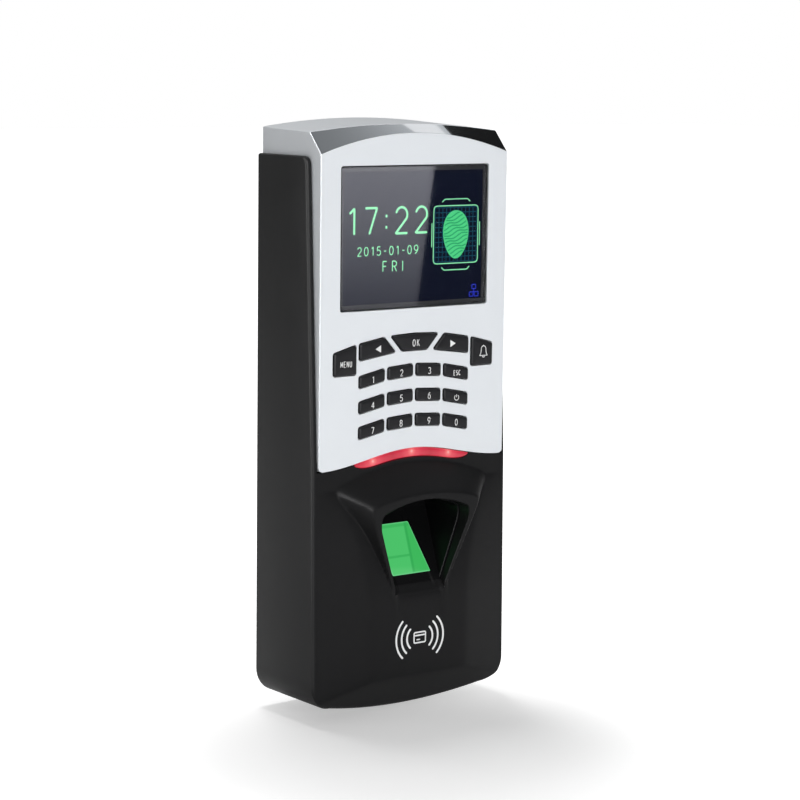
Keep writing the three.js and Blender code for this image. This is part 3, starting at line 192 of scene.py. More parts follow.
case_black = finish("satin black moulding", shade(23, 23, 24), 0.4, grain=0.35, relief=0.012,
                    mottle=0.08, Specular_IOR_Level=0.14)
eased_copy("rear_cover", case_black, edge=0.25)
for number in range(1, 5):
    eased_copy(f"case_screw_{number}", screw_steel, edge=0.15)

# Boards and what is soldered on them
# Glass-fibre boards under green solder resist, with the chips, relay, terminal blocks, network
# socket, buzzer, clock battery and tamper switch that such a terminal carries.

solder_resist = finish("green solder resist", shade(22, 88, 52), 0.3, grain=1.2, relief=0.02,
                       mottle=0.12)
chip_black = finish("chip epoxy", shade(26, 26, 27), 0.6, grain=0.2, relief=0.01)
terminal_green = finish("terminal block nylon", shade(44, 140, 78), 0.45, grain=0.4, relief=0.01)
socket_black = finish("socket plastic", shade(24, 24, 25), 0.4, grain=0.3, relief=0.008)
for node in ["power_board", "main_board", "keypad_board", "led_board", "reader_coil_board"]:
    eased_copy(node, solder_resist, edge=0.12)
for node in ["processor", "memory_chip"]:
    eased_copy(node, chip_black, edge=0.15)
for node in ["relay", "speaker", "buzzer", "tamper_switch", "sensor_module"]:
    eased_copy(node, socket_black, edge=0.25)
for node in ["terminal_block_left", "terminal_block_right"]:
    eased_copy(node, terminal_green, edge=0.2)
eased_copy("network_socket", socket_black, edge=0.25)
eased_copy("cell_holder", socket_black, edge=0.2)
eased_copy("coin_cell", zinc_plate, edge=0.3)
eased_copy("tamper_plunger", socket_black, edge=0.3)

# Inner frame with the keypad layers and the display's tray
# The frame is a black moulding that carries the display and presses the keypad board forwards. The
# mat is silicone rubber, and the flat cables are amber polyimide film.

mat_rubber = finish("silicone rubber", shade(58, 58, 60), 0.8, grain=0.3, relief=0.006)
cable_film = finish("polyimide film", shade(188, 122, 34), 0.35, grain=0.8, relief=0.004)
eased_copy("inner_frame", case_black, edge=0.3)
eased_copy("lcd_tray", zinc_plate, edge=0.2)
eased_copy("keypad_mat", mat_rubber, edge=0.2)
eased_copy("display_gasket", mat_rubber, edge=0.2)
eased_copy("display_flex", cable_film, edge=0.08)
eased_copy("sensor_cable", cable_film, edge=0.08)
for number in range(1, 5):
    eased_copy(f"frame_screw_{number}", screw_steel, edge=0.12)

# Front case
# One satin black moulding: two tall side panels, the face below the silver cap, the raised reader
# panel and the hood over the finger recess. A fine grain covers it all. Its face is a height over
# the front view, and its sides are one profile carried along the outline.

_, case_high = (np.array(corner) * 1000 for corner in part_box("front_case"))
cap_low, cap_high = (np.array(corner) * 1000 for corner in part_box("silver_cap"))
front = cap_low[1]
half_width = case_high[0]
cap_half = cap_high[0]
corner_level = cap_high[2] - 11.2
gap = 0.3
rear = case_high[1]
panel_top = case_high[2]
side_round = 1.3
panel_corner = 3
end_round = 0.7
rear_lip = 0.5
case_wall = 2.2


def level(drop):
    """Height of a point that lies `drop` millimetres below the cap's front corner."""
    return corner_level - drop


seam_drop, seam_wave, seam_half = 101.69, 5.3, 40


def seam(x):
    """Seam under the silver cap: one raised-cosine wave, 5.3 mm lower at the sides."""
    return level(seam_drop + seam_wave * (1 - np.cos(np.pi * np.minimum(1, np.abs(x) / seam_half))) / 2)


bottom_middle = level(193.7)
bottom_sag = 5.5
bottom_round = 9
corner_x = half_width - bottom_round


def bottom(x):
    """Bottom edge: a shallow parabola, 5.5 mm higher at the sides."""
    return bottom_middle + bottom_sag * (x / half_width) ** 2


corner_z = bottom(corner_x) + bottom_round


def soft_min(a, b, reach):
    """Lower of two heights, with the crease between them rounded over about `reach`."""
    return (a + b - np.sqrt((a - b) ** 2 + reach ** 2)) / 2


def soft_max(a, b, reach):
    """Upper of two heights, with the crease between them rounded over about `reach`."""
    return (a + b + np.sqrt((a - b) ** 2 + reach ** 2)) / 2


def between(a, b, share):
    """A straight mix from a to b."""
    return a + (b - a) * share


seam_side = level(106.99)
hood_tip = 34
crease_top = level(113.89)
floor_foot = level(151.79)
recess_foot = level(149.49)
rim_corner = level(119.79)
rim_top = level(116.29)
tip_proud, panel_proud, rim_proud = -0.5, 5.3, 9.1
edge_top, edge_seam, edge_foot = -5.5, -0.75, 0.55
crease_half = 20.5


def edge_proud(z):
    """Front edge of the sides: 5.5 mm behind the silver face at the top, 0.75 at the seam, and
    0.55 ahead of it at the bottom, in two straight runs."""
    upper = between(edge_seam, edge_top, (z - seam_side) / (panel_top - seam_side))
    lower = between(edge_seam, edge_foot, (seam_side - z) / (seam_side - bottom_middle))
    return np.where(z > seam_side, upper, lower)


def base_proud(x, z):
    """Reader panel and cheeks: the panel rises from the hood's tips to 5.3 mm proud, and from its
    crease, which narrows downwards, the face falls straight to the sides."""
    share = np.clip(soft_min((crease_top - z) / (crease_top - floor_foot), 1, 0.12), 0, 1)
    half = crease_half + (hood_tip - crease_half) * (1 - share) ** 1.5
    crease = between(tip_proud, panel_proud, share ** 0.8)
    outward = (np.abs(x) - half) / (half_width - side_round - half)
    outward = soft_min(soft_max(outward, 0, 0.08), 1, 0.02)
    return between(crease, edge_proud(z), outward)


opening_foot, opening_spread = 10.8, 11


def opening_half(z):
    """Half width of the finger opening: it widens evenly from the foot to the rim's corners."""
    return opening_foot + opening_spread * np.clip((z - recess_foot) / (rim_corner - recess_foot), 0, 1)


def leg_half(z):
    """Half width of the rim's outer edge beside the opening, a tenth wider than the opening."""
    return 1.1 * opening_half(z) + 0.2


hood_drop, hood_sag, roof_run = 106.69, 7.2, 9.6
edge_flare, edge_fall = 1.73, 1.64
flank_slope, leg_slope = 1.44, 5.5


def hood_proud(x, z):
    """Hood: a roof that rises 9.6 mm over 9.6, a rim that leans back down its legs, and flanks that
    fall away outside the legs, more steeply the lower they are. Above the rim's corners the roof
    and the flanks meet in two straight edges that run out to the tips. The lowest of the three
    shows, with soft edges."""
    top = level(hood_drop + hood_sag * (x / hood_tip) ** 2)
    roof = between(tip_proud, rim_proud, (top - z) / roof_run)
    fall = np.maximum(0, (rim_top - z) / (rim_top - floor_foot))
    rim = between(rim_proud, panel_proud - 0.4, fall)
    above = np.maximum(0, z - rim_corner)
    below = np.clip((rim_corner - z) / (rim_corner - recess_foot), 0, 1)
    edge = leg_half(z) + edge_flare * above
    steepness = flank_slope + leg_slope * below ** 1.2
    flank = rim - edge_fall * above - steepness * (np.abs(x) - edge)
    return soft_min(soft_min(roof, flank, 3.0), rim, 0.5)


foot_bevel_top, foot_bevel_slope = level(180.89), 0.74


def bevel_proud(z):
    """Bevel that ends the raised panel above the bottom edge."""
    return panel_proud - foot_bevel_slope * (foot_bevel_top - z)


def inside_edge(x, z):
    """Distance in from the outline, seen from the front: to the sides, the bottom arc, or the
    round bottom corners."""
    across = half_width - np.abs(x)
    plain = np.minimum(across, z - bottom(x))
    near_x, near_z = np.abs(x) - corner_x, corner_z - z
    in_corner = (near_x > 0) & (near_z > 0)
    return np.where(in_corner, bottom_round - np.hypot(near_x, near_z), plain)


def round_fall(distance, radius):
    """Quarter circle that rounds an edge: how far the surface drops at a distance from the edge."""
    into = np.clip(radius - distance, 0, radius)
    return radius - np.sqrt(radius ** 2 - into ** 2)


floor_slope = 0.866


def foot_round(x, z):
    """Depth taken off where the face turns over into the finger floor: most on the turn itself,
    and none beyond the opening's walls or at the sensor."""
    fall = (z - floor_foot) * floor_slope
    turned = np.minimum(0, -fall) - soft_min(0, -fall, 1.8)
    between_walls = 1 / (1 + np.exp((np.abs(x) - 9.7) / 0.4))
    clear_of_sensor = np.clip((5.4 - (z - floor_foot)) / 2.7, 0, 1)
    return turned * between_walls * clear_of_sensor


def case_face(x, z):
    """Depth Y of the case's face over the front view."""
    proud = soft_max(base_proud(x, z), hood_proud(x, z), 0.4)
    depth = front - soft_min(proud, bevel_proud(z), 0.8) + round_fall(inside_edge(x, z), side_round)
    return depth + foot_round(x, z)


leg_wall, hood_wall_growth = 2.6, 3.2


def case_inside(x, z):
    """Depth Y of the case's inner skin: one wall behind the face, and up to 5.8 mm behind the
    hood's upper part."""
    hood_wall = leg_wall + hood_wall_growth * np.clip((z - recess_foot) / (rim_corner - recess_foot), 0, 1)
    proud = np.maximum(base_proud(x, z) - case_wall, hood_proud(x, z) - hood_wall)
    return front - np.minimum(proud, bevel_proud(z) - case_wall)


def run_along(points):
    """Arc length from the start of a polyline to each of its points."""
    return np.concatenate([[0], np.cumsum(np.linalg.norm(np.diff(points, axis=0), axis=1))])


def points_at(points, stations):
    """Points of a polyline at given arc lengths from its start."""
    run = run_along(points)
    return np.stack([np.interp(stations, run, points[:, i]) for i in range(points.shape[1])], axis=1)


def along(points, count, ends=True):
    """Points spaced evenly by arc length along a polyline."""
    return points_at(points, np.linspace(0, run_along(points)[-1], count, endpoint=ends))


def unit(steps):
    """Steps in the same directions, one unit long."""
    return steps / np.linalg.norm(steps, axis=1)[:, None]


def bend(start, corner, end, count):
    """Quadratic curve from start to end that leans towards the corner. Works on whole arrays of
    points, one curve each."""
    t = np.linspace(0, 1, count).reshape((-1,) + (1,) * np.ndim(start))
    return (1 - t) ** 2 * start + 2 * t * (1 - t) * corner + t ** 2 * end


def woven(loops, ring=True, closed=False):
    """Points and quads of a skin through rows of points. With `ring` each row closes on itself, and
    with `closed` the last row joins the first."""
    loops = np.asarray(loops)
    index = np.arange(loops.shape[0] * loops.shape[1]).reshape(loops.shape[:2])
    if ring:
        index = np.concatenate([index, index[:, :1]], axis=1)
    if closed:
        index = np.concatenate([index, index[:1]], axis=0)
    quads = np.stack([index[:-1, :-1], index[:-1, 1:], index[1:, 1:], index[1:, :-1]], axis=-1)
    return loops.reshape(-1, 3), quads.reshape(-1, 4)


def filled(outline, holes=()):
    """Points and triangles of a flat face inside an outline and outside its holes."""
    rings = [outline, *holes]
    triangles = tessellate_polygon([ring.tolist() for ring in rings])
    return np.concatenate(rings), np.array(triangles)


def build(name, patches, material, crease=35, body="terminal"):
    """Joins patches of points and faces, given in millimetres, into one object in metres. Points
    that meet are merged, faces are turned outwards, and edges sharper than `crease` stay sharp."""
    offsets = np.cumsum([0] + [len(points) for points, _ in patches])
    points = np.concatenate([points for points, _ in patches]) / 1000
    corners = np.concatenate([(faces + k).ravel() for k, (_, faces) in zip(offsets, patches)])
    sizes = np.concatenate([np.full(len(faces), faces.shape[1]) for _, faces in patches])
    mesh = bpy.data.meshes.new(name)
    mesh.vertices.add(len(points))
    mesh.vertices.foreach_set("co", points.ravel())
    mesh.loops.add(len(corners))
    mesh.loops.foreach_set("vertex_index", corners)
    mesh.polygons.add(len(sizes))
    mesh.polygons.foreach_set("loop_start", np.concatenate([[0], np.cumsum(sizes)[:-1]]))
    mesh.update(calc_edges=True)
    builder = bmesh.new()
    builder.from_mesh(mesh)
    bmesh.ops.remove_doubles(builder, verts=builder.verts, dist=3e-6)
    bmesh.ops.dissolve_degenerate(builder, edges=builder.edges, dist=1e-6)
    bmesh.ops.recalc_face_normals(builder, faces=builder.faces)
    builder.to_mesh(mesh)
    builder.free()
    piece = smooth_piece(name, mesh, material, crease)
    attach(piece, body)
    return piece


recess_shoulder = level(128.5)
arch_half, arch_rise = 16.8, 3.4
leg_count, shoulder_count, arch_count = 60, 20, 40


def recess_outline(inset=0.0, foot=floor_foot):
    """Finger opening from the front: up the right leg, round the shoulder, over the arch and down
    the left leg. `inset` narrows it and `foot` is the height of its lower edge."""
    z = np.linspace(foot, recess_shoulder, leg_count)
    leg = np.stack([opening_half(z) - inset, z], axis=1)
    top = level(118.59) - inset
    end = np.array([arch_half, top - arch_rise])
    corner = np.array([leg[-1, 0] + 1.3, end[1] - 0.9])
    turn = bend(leg[-1], corner, end, shoulder_count)[1:]
    x = np.linspace(arch_half, 0, arch_count)[1:]
    arch = np.stack([x, top - arch_rise * (x / arch_half) ** 2], axis=1)
    right = np.concatenate([leg, turn, arch])
    left = right[-2::-1] * [-1, 1]
    return np.concatenate([right, left])


seam_count, side_count, corner_count, foot_count = 190, 96, 18, 100
panel_inset = half_width - cap_half - gap
ledge_inset = half_width - 38.1
bar_half, bar_end, bar_height = 24.5, 9.5, 2.9


def under_seam(x):
    """Upper edge of the black face: just under the seam, and lower where the light bar lies."""
    into = np.clip((np.abs(x) - (bar_half - bar_end)) / (bar_end + gap), 0, 1)
    return seam(x) - gap - (bar_height + gap) * np.sqrt(1 - into ** 2)


def outline_part(inset):
    """Right side from the seam down, round corner, bottom and round left corner, and up the left
    side, pulled in by `inset`. Each point moves square to the outline."""
    side_z = np.linspace(seam_side - gap, corner_z, side_count)
    side = np.stack([np.full(side_count, half_width - inset), side_z], axis=1)
    turn = np.linspace(0, np.pi / 2, corner_count + 1)[1:]
    round_part = np.stack([corner_x + (bottom_round - inset) * np.cos(turn),
                           corner_z - (bottom_round - inset) * np.sin(turn)], axis=1)
    x = np.linspace(corner_x, -corner_x, foot_count + 1)[1:]
    foot = np.stack([x, bottom(x) + inset], axis=1)
    left = np.concatenate([side, round_part])[:-1][::-1] * [-1, 1]
    return np.concatenate([side, round_part, foot, left])


def lift(flat, depth):
    """Front-view points at a depth Y each, as points in space."""
    return np.stack([flat[..., 0], np.broadcast_to(depth, flat.shape[:-1]), flat[..., 1]], axis=-1)


def draped(flat, depth_of):
    """Front-view points laid on the surface whose depth Y over x and z a function gives."""
    return lift(flat, depth_of(flat[..., 0], flat[..., 1]))


def floor_depth(z):
    """Depth Y of the finger floor: a plane that climbs into the body from the recess foot."""
    return front - panel_proud + (z - floor_foot) * floor_slope


def trough(x, z):
    """Shallow trough along the floor under the sensor, with soft edges. It fades out at the foot."""
    width = 1 / (1 + np.exp((np.abs(x + 0.6) - 7.9) / 0.16))
    return 0.45 * width * np.clip((z - floor_foot - 0.2) / 2.5, 0, 1)


def finger_floor(x, z):
    """Depth Y of the finger floor with its trough and the round at its foot."""
    return floor_depth(z) + trough(x, z) + foot_round(x, z)


ramp = 2.7
face_rows, inner_rows = 92, 24
seam_x = np.linspace(-cap_half - gap, cap_half + gap, seam_count)
seam_edge = np.stack([seam_x, under_seam(seam_x)], axis=1)
outer_edge = np.concatenate([seam_edge, outline_part(panel_inset)[1:-1]])
opening = recess_outline()
arch_start = leg_count - 1
arch = opening[arch_start:len(opening) - arch_start][::-1]
right_leg = opening[:arch_start + 1][::-1]
left_leg = right_leg[::-1] * [-1, 1]
foot_line = np.array([[right_leg[-1, 0], floor_foot], [-right_leg[-1, 0], floor_foot]])
rest_count = 2 * corner_count + foot_count
opening_edge = np.concatenate([
    along(arch, seam_count), along(right_leg, side_count)[1:],
    along(foot_line, rest_count + 1)[1:], along(left_leg, side_count)[1:-1],
])
face_share = np.linspace(0, 1, face_rows)[:, None, None]
face_skin = draped(between(opening_edge, outer_edge, face_share), case_face)

# The opening's edge bends back. Along the foot it becomes a ramp that runs into the finger floor.
at_foot = np.clip((floor_foot + 1.2 - opening_edge[:, 1]) / 1.2, 0, 1) ** 2
wall_end = opening_edge + np.stack([0 * at_foot, ramp * at_foot], axis=1)
ramp_depth = floor_depth(wall_end[:, 1]) + trough(wall_end[:, 0], wall_end[:, 1])
wall_depth = between(case_inside(*opening_edge.T), ramp_depth, at_foot)
lip = face_skin[0]
lip_out = unit(face_skin[1] - lip)
lip_back = unit(lift(wall_end, wall_depth) - lip)
lip_bend = bend(lip + 0.35 * lip_out, lip, lip + 0.45 * lip_back, 6)
wall_skin = np.concatenate([lip_bend, lift(wall_end, wall_depth)[None]])
ramp_rise = np.linspace(0, ramp, len(wall_skin))[:, None, None] * [0, 1]
ramp_skin = draped(opening_edge + ramp_rise, finger_floor)
wall_skin = between(wall_skin, ramp_skin, at_foot[:, None])
face_skin[0] = wall_skin[0]

inner_share = np.linspace(0, 1, inner_rows)[1:, None, None]
inner_skin = draped(between(opening_edge, outer_edge, inner_share), case_inside)
inner_skin = np.concatenate([wall_skin[-1:], inner_skin])
seam_wall = np.stack([face_skin[-1, :seam_count], inner_skin[-1, :seam_count]])

# The sides: the profile runs from the face over the round edge, along the outside to the rear rim,
# over the rim and its ledge and back along the inside. Up the two panels it closes on itself.
panel_count = 56
panel_z = panel_top + (seam_side - gap - panel_top) * np.linspace(0, 1, panel_count) ** 2.2


def strip(inset):
    """The outline with the side panels' upper runs added before and after it."""
    upper = np.stack([np.full(panel_count, half_width - inset), panel_z], axis=1)
    return np.concatenate([upper, outline_part(inset), upper[::-1] * [-1, 1]])


def strip_loop(inset, depth=None):
    """One line of the side profile, at the face's own depth or at a given one. The panels' upper
    ends are rounded by quarter circles: the outside draws in there, the front falls back round the
    corner, and the rear rim comes forwards 1.4 times as far."""
    flat = strip(inset)
    end_fall = round_fall(panel_top - flat[:, 1], end_round)
    if inset < panel_inset:
        flat[:, 0] -= np.sign(flat[:, 0]) * end_fall
    x, z = flat.T
    if depth is None:
        side = front - edge_proud(z) + round_fall(half_width - np.abs(x), side_round)
        beside_cap = (np.abs(x) >= cap_half) & (z > seam_side - gap)
        depth = np.where(beside_cap, side, case_face(x, z))
        depth = depth + round_fall(panel_top - z, panel_corner) + end_fall
    elif inset < rear_lip:
        depth = depth - 1.4 * end_fall
    return lift(flat, depth)


round_steps = side_round * (1 - np.sin(np.linspace(0, np.pi / 2, 9)))
upper_part = np.r_[np.ones(panel_count, bool), np.zeros(len(outline_part(0)), bool),
                   np.ones(panel_count, bool)]
profile = [strip_loop(panel_inset), *[strip_loop(inset) for inset in round_steps]]
outer_rear = [strip_loop(0, rear - rear_lip), strip_loop(0.15, rear - 0.15), strip_loop(rear_lip, rear)]
above_ledge = strip(0)[:, 1] > level(4) - gap
rim_flat = between(strip(panel_inset), strip(ledge_inset), (~above_ledge)[:, None])
ledge_front = -6.0
rim = [lift(rim_flat, rear), lift(rim_flat, ledge_front)]
inner_line = strip(panel_inset)
inner_depth = np.where(upper_part, profile[0][:, 1] + case_wall, case_inside(*inner_line.T))
inside = [lift(inner_line, ledge_front), lift(inner_line, inner_depth),
          np.where(upper_part[:, None], profile[0], lift(inner_line, inner_depth))]
side_skin = np.stack(profile + outer_rear + rim + inside)
panel_end = side_skin[:, 0]
ends = []
for end in [panel_end, panel_end * [-1, 1, 1]]:
    flat_end = end[:, [0, 1]]
    corners = tessellate_polygon([np.pad(flat_end, ((0, 0), (0, 1))).tolist()])
    ends.append((end, np.array(corners)))

case = build("front_case_shell", [
    woven(face_skin), woven(wall_skin), woven(inner_skin),
    woven(seam_wall, ring=False), woven(side_skin, ring=False), *ends,
], case_black)
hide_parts("front_case")

# Finger guide
# Black liner clipped in behind the hood: the recess walls and the sloping finger floor, with a
# window for the sensor. It is smoother than the case, so that it wipes clean.

guide_black = finish("smooth black moulding", shade(12, 12, 13), 0.4, grain=0.5, relief=0.004,
                     mottle=0.05, Specular_IOR_Level=0.12)
guide_inset = 0.75
guide_foot = floor_foot + ramp + 0.12
recess_back = front + 17
liner = 1.8
sensor_width, sensor_length = 16.5, 20.7
slope_length = math.hypot(1, floor_slope)
sensor_z = floor_foot + 5.7 + sensor_length / 2 / slope_length


def guide_depth(x, z):
    """Depth Y of the floor and, where it gets too deep, of the recess's flat back."""
    return soft_min(finger_floor(x, z), recess_back, 1.2)


def looped(path):
    """A path that ends where it starts."""
    return np.concatenate([path, path[:1]])


def square_to(steps):
    """Unit steps square to the given ones, to their right."""
    return unit(np.stack([steps[:, 1], -steps[:, 0]], axis=1))


guide_edge = along(looped(recess_outline(guide_inset, guide_foot)), 360, ends=False)
turns = np.arctan2(guide_edge[:, 1] - sensor_z, guide_edge[:, 0])
window_half = np.array([sensor_width / 2 + gap, (sensor_length / 2 + gap) / slope_length])
reach = np.minimum(window_half[0] / np.maximum(np.abs(np.cos(turns)), 1e-6),
                   window_half[1] / np.maximum(np.abs(np.sin(turns)), 1e-6))
window_edge = np.stack([reach * np.cos(turns), sensor_z + reach * np.sin(turns)], axis=1)
floor_share = np.linspace(0, 1, 40)[:, None, None]
floor_skin = draped(between(window_edge, guide_edge, floor_share), guide_depth)
guide_back = floor_skin[-1, :, 1]
guide_front = np.minimum(case_inside(*guide_edge.T) + gap, guide_back)
edge_out = square_to(guide_edge - np.roll(guide_edge, 1, axis=0))
grown_edge = guide_edge + edge_out * (liner - guide_inset)
rim_bend = bend(lift(guide_edge, np.minimum(guide_front + 0.5, guide_back)), lift(guide_edge, guide_front),
                lift(guide_edge + 0.4 * edge_out, guide_front), 5)
grown_back = np.maximum(guide_back + liner, guide_front)
behind = np.array([0, liner, 0])
guide = build("finger_guide_liner", [woven(np.concatenate([
    floor_skin, rim_bend, lift(grown_edge, guide_front)[None], lift(grown_edge, grown_back)[None],
    (floor_skin[-1] + behind)[None], (floor_skin[0] + behind)[None],
]), closed=True)], guide_black)
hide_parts("finger_guide")

# Optical sensor
# A coated glass prism that the module behind it lights green. Its face lies just under the finger
# floor and tilts back with it. Painted shade darkens its right part and soft lines across it, where
# the camera's view inside it ends, and a painted highlight lightens its edges.


def on_floor(across, up, under):
    """Points over the tilted finger floor: across, up the slope from the sensor's middle, and a
    distance square to the floor behind it."""
    lean_sine, lean_cosine = floor_slope / slope_length, 1 / slope_length
    depth = floor_depth(sensor_z) + up * lean_sine + under * lean_cosine
    height = sensor_z + up * lean_cosine - under * lean_sine
    return np.stack([across + 0 * depth, depth, height], axis=-1)


def rounded_polygon(corners, radius, turn=7):
    """A polygon whose corners are bent round: each bend starts and ends `radius` from its corner,
    or a third along a shorter side."""
    corners = np.asarray(corners, float)
    back, ahead = np.roll(corners, 1, axis=0) - corners, np.roll(corners, -1, axis=0) - corners
    lengths = [np.linalg.norm(side, axis=1)[:, None] for side in (back, ahead)]
    cut = np.minimum(radius, np.minimum(*lengths) / 3)
    bends = bend(corners + back / lengths[0] * cut, corners, corners + ahead / lengths[1] * cut, turn)
    return bends.transpose(1, 0, 2).reshape(-1, 2)


def rectangle(half_x, half_z, radius, middle=0.0):
    """Rounded rectangle round (0, middle), seen from the front."""
    corners = [(-half_x, middle - half_z), (half_x, middle - half_z),
               (half_x, middle + half_z), (-half_x, middle + half_z)]
    return rounded_polygon(corners, radius)


def offset(outline, distance):
    """Moves a closed outline square to itself, outwards for a positive distance."""
    square = square_to(np.roll(outline, -1, axis=0) - np.roll(outline, 1, axis=0))
    x, z = outline.T
    turning = np.sign(np.sum(x * np.roll(z, -1) - np.roll(x, -1) * z))
    return outline + turning * distance * square


def plate(outline, front_depth, back_depth, ease, place=lift):
    """A flat plate: its outline carried from front to back with both edges eased by a small bend,
    and both faces filled. `place` turns outline points and depths into points in space."""
    turn = np.linspace(0, np.pi / 2, 4)
    inset = np.concatenate([[1.6 * ease], ease * (1 - np.sin(turn))])
    drop = np.concatenate([[0], ease * (1 - np.cos(turn))])
    front_loops = [place(offset(outline, -i), front_depth + d) for i, d in zip(inset, drop)]
    back_loops = [place(offset(outline, -i), back_depth - d) for i, d in zip(inset, drop)]
    loops = np.array(front_loops + back_loops[::-1])
    return [woven(loops), filled(loops[0]), filled(loops[-1])]


sensor_green = finish("lit green glass", shade(20, 70, 36), 0.1, grain=3, relief=0.0, mottle=0.03)
prism_black = finish("prism edge paint", shade(8, 8, 9), 0.5, grain=0.3, relief=0.002, mottle=0.05)


def reckoned(tree, operation, first, second=0.0):
    """A math node's answer for two values, each a plain number or another node's output."""
    node = tree.nodes.new("ShaderNodeMath")
    node.operation = operation
    for socket, value in zip(node.inputs, (first, second)):
        if isinstance(value, float):
            socket.default_value = value
        else:
            tree.links.new(value, socket)
    return node.outputs["Value"]


def glow_with_painted_light(material):
    """Light in the sensor's face, by Object coordinates in metres: even green, with a painted highlight
    on the ground edge all round, and painted shade over the right part and along soft lines where the
    camera's view ends in the prism."""
    tree = material.node_tree
    place = tree.nodes.new("ShaderNodeTexCoord").outputs["Object"]
    middle = on_floor(0.0, 0.0, 0.0) / 1000
    up_axis = (0.0, floor_slope / slope_length, 1 / slope_length)

    def along_axis(axis):
        dot = tree.nodes.new("ShaderNodeVectorMath")
        dot.operation = "DOT_PRODUCT"
        dot.inputs[1].default_value = axis
        tree.links.new(place, dot.inputs[0])
        return reckoned(tree, "SUBTRACT", dot.outputs["Value"], float(np.dot(axis, middle)))

    def soft_step(value, start, end):
        return ranged(tree, value, start, end, growth="SMOOTHSTEP")

    def soft_line(value, line_at, start, end):
        away = reckoned(tree, "ABSOLUTE", reckoned(tree, "SUBTRACT", value, line_at))
        return soft_step(away, start, end)

    def mixed(below, colour, share):
        mix = tree.nodes.new("ShaderNodeMix")
        mix.data_type = "RGBA"
        if isinstance(below, tuple):
            mix.inputs["A"].default_value = below
        else:
            tree.links.new(below, mix.inputs["A"])
        mix.inputs["B"].default_value = colour
        tree.links.new(share, mix.inputs["Factor"])
        return mix.outputs["Result"]

    across, up = along_axis((1.0, 0.0, 0.0)), along_axis(up_axis)
    lean = reckoned(tree, "ADD", reckoned(tree, "MULTIPLY", up, 0.27), 0.0038)
    slanted = reckoned(tree, "SUBTRACT", across, lean)
    # Painted shade: darker green right of a slanting line, and three soft darker lines, where the camera's
    # view inside the prism ends.
    right_painted_shade = soft_step(slanted, -0.0006, 0.0004)
    painted_shade_stripe = soft_line(slanted, 0.0, 0.0009, 0.0002)
    painted_shade_level_line = soft_line(up, -0.0031, 0.0007, 0.0002)
    painted_shade_level_line = reckoned(tree, "MULTIPLY", painted_shade_level_line, soft_step(slanted, 0.0, -0.0008))
    painted_shade_top_line = soft_line(up, 0.0091, 0.0009, 0.0003)
    # Painted highlight: paler green along the ground edge all round.
    half_across, half_up = sensor_width / 2000, sensor_length / 2000
    side_painted_highlight = soft_line(across, 0.0, half_across - 0.0006, half_across - 0.0003)
    end_painted_highlight = soft_line(up, 0.0, half_up - 0.0006, half_up - 0.0003)
    glow = mixed(shade(80, 202, 110), shade(64, 190, 94), right_painted_shade)
    glow = mixed(glow, shade(52, 172, 84), reckoned(tree, "MULTIPLY", painted_shade_stripe, 0.8))
    glow = mixed(glow, shade(56, 176, 88), reckoned(tree, "MULTIPLY", painted_shade_level_line, 0.7))
    glow = mixed(glow, shade(56, 176, 88), reckoned(tree, "MULTIPLY", painted_shade_top_line, 0.6))
    glow = mixed(glow, shade(104, 210, 134), reckoned(tree, "MAXIMUM", side_painted_highlight, end_painted_highlight))
    shader = tree.nodes["Principled BSDF"]
    tree.links.new(glow, shader.inputs["Emission Color"])
    shader.inputs["Emission Strength"].default_value = 0.84


def face_normals(piece):
    """Which way each face of a piece looks."""
    normals = np.empty(len(piece.data.polygons) * 3)
    piece.data.polygons.foreach_get("normal", normals)
    return normals.reshape(-1, 3)


def second_finish(piece, material, chosen):
    """Gives the chosen faces of a piece a material of their own."""
    piece.data.materials.append(material)
    piece.data.polygons.foreach_set("material_index", chosen.astype(np.int32))


glow_with_painted_light(sensor_green)
prism_outline = rectangle(sensor_width / 2, sensor_length / 2, 0.5)
prism = build("sensor_glass_prism", plate(
    prism_outline, 0.1, 2.0, 0.3, lambda flat, under: on_floor(flat[:, 0], flat[:, 1], under),
), prism_black)
towards_finger = face_normals(prism) @ [0, -1 / slope_length, floor_slope / slope_length]
second_finish(prism, sensor_green, towards_finger > 0.3)
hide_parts("sensor_prism")

# Light bar
# A red diffuser under the cap's wavy edge, lit from behind by three LEDs. Its section is a rounded
# box that tapers to a point at both ends, and it glows brightest in front of each LED.

bar_front, bar_back = front + 0.2, front + 3.35
bar_turn = np.linspace(0, 2 * np.pi, 28, endpoint=False)
bar_x = -bar_half * np.cos(np.pi * np.linspace(0, 1, 160))
bar_into = np.clip((np.abs(bar_x) - (bar_half - bar_end)) / bar_end, 0, 1)
bar_thick = bar_height * np.sqrt(1 - bar_into ** 2)
box_sine = np.sign(np.sin(bar_turn)) * np.abs(np.sin(bar_turn)) ** 0.5
box_cosine = np.sign(np.cos(bar_turn)) * np.abs(np.cos(bar_turn)) ** 0.5
bar_z = (seam(bar_x) - gap - bar_thick / 2)[:, None] + (bar_thick / 2)[:, None] * box_cosine
bar_y = (bar_front + bar_back) / 2 + (bar_back - bar_front) / 2 * box_sine + 0 * bar_z
bar_points = np.stack([np.broadcast_to(bar_x[:, None], bar_z.shape), bar_y, bar_z], axis=-1)
red_lens = finish("red diffuser", shade(70, 10, 18), 0.2, grain=1.2, relief=0.003, mottle=0.03)


def distance_to(tree, point):
    """Distance from a point, by Object coordinates in metres."""
    node = tree.nodes.new("ShaderNodeVectorMath")
    node.operation = "DISTANCE"
    node.inputs[1].default_value = point
    tree.links.new(tree.nodes.new("ShaderNodeTexCoord").outputs["Object"], node.inputs[0])
    return node.outputs["Value"]


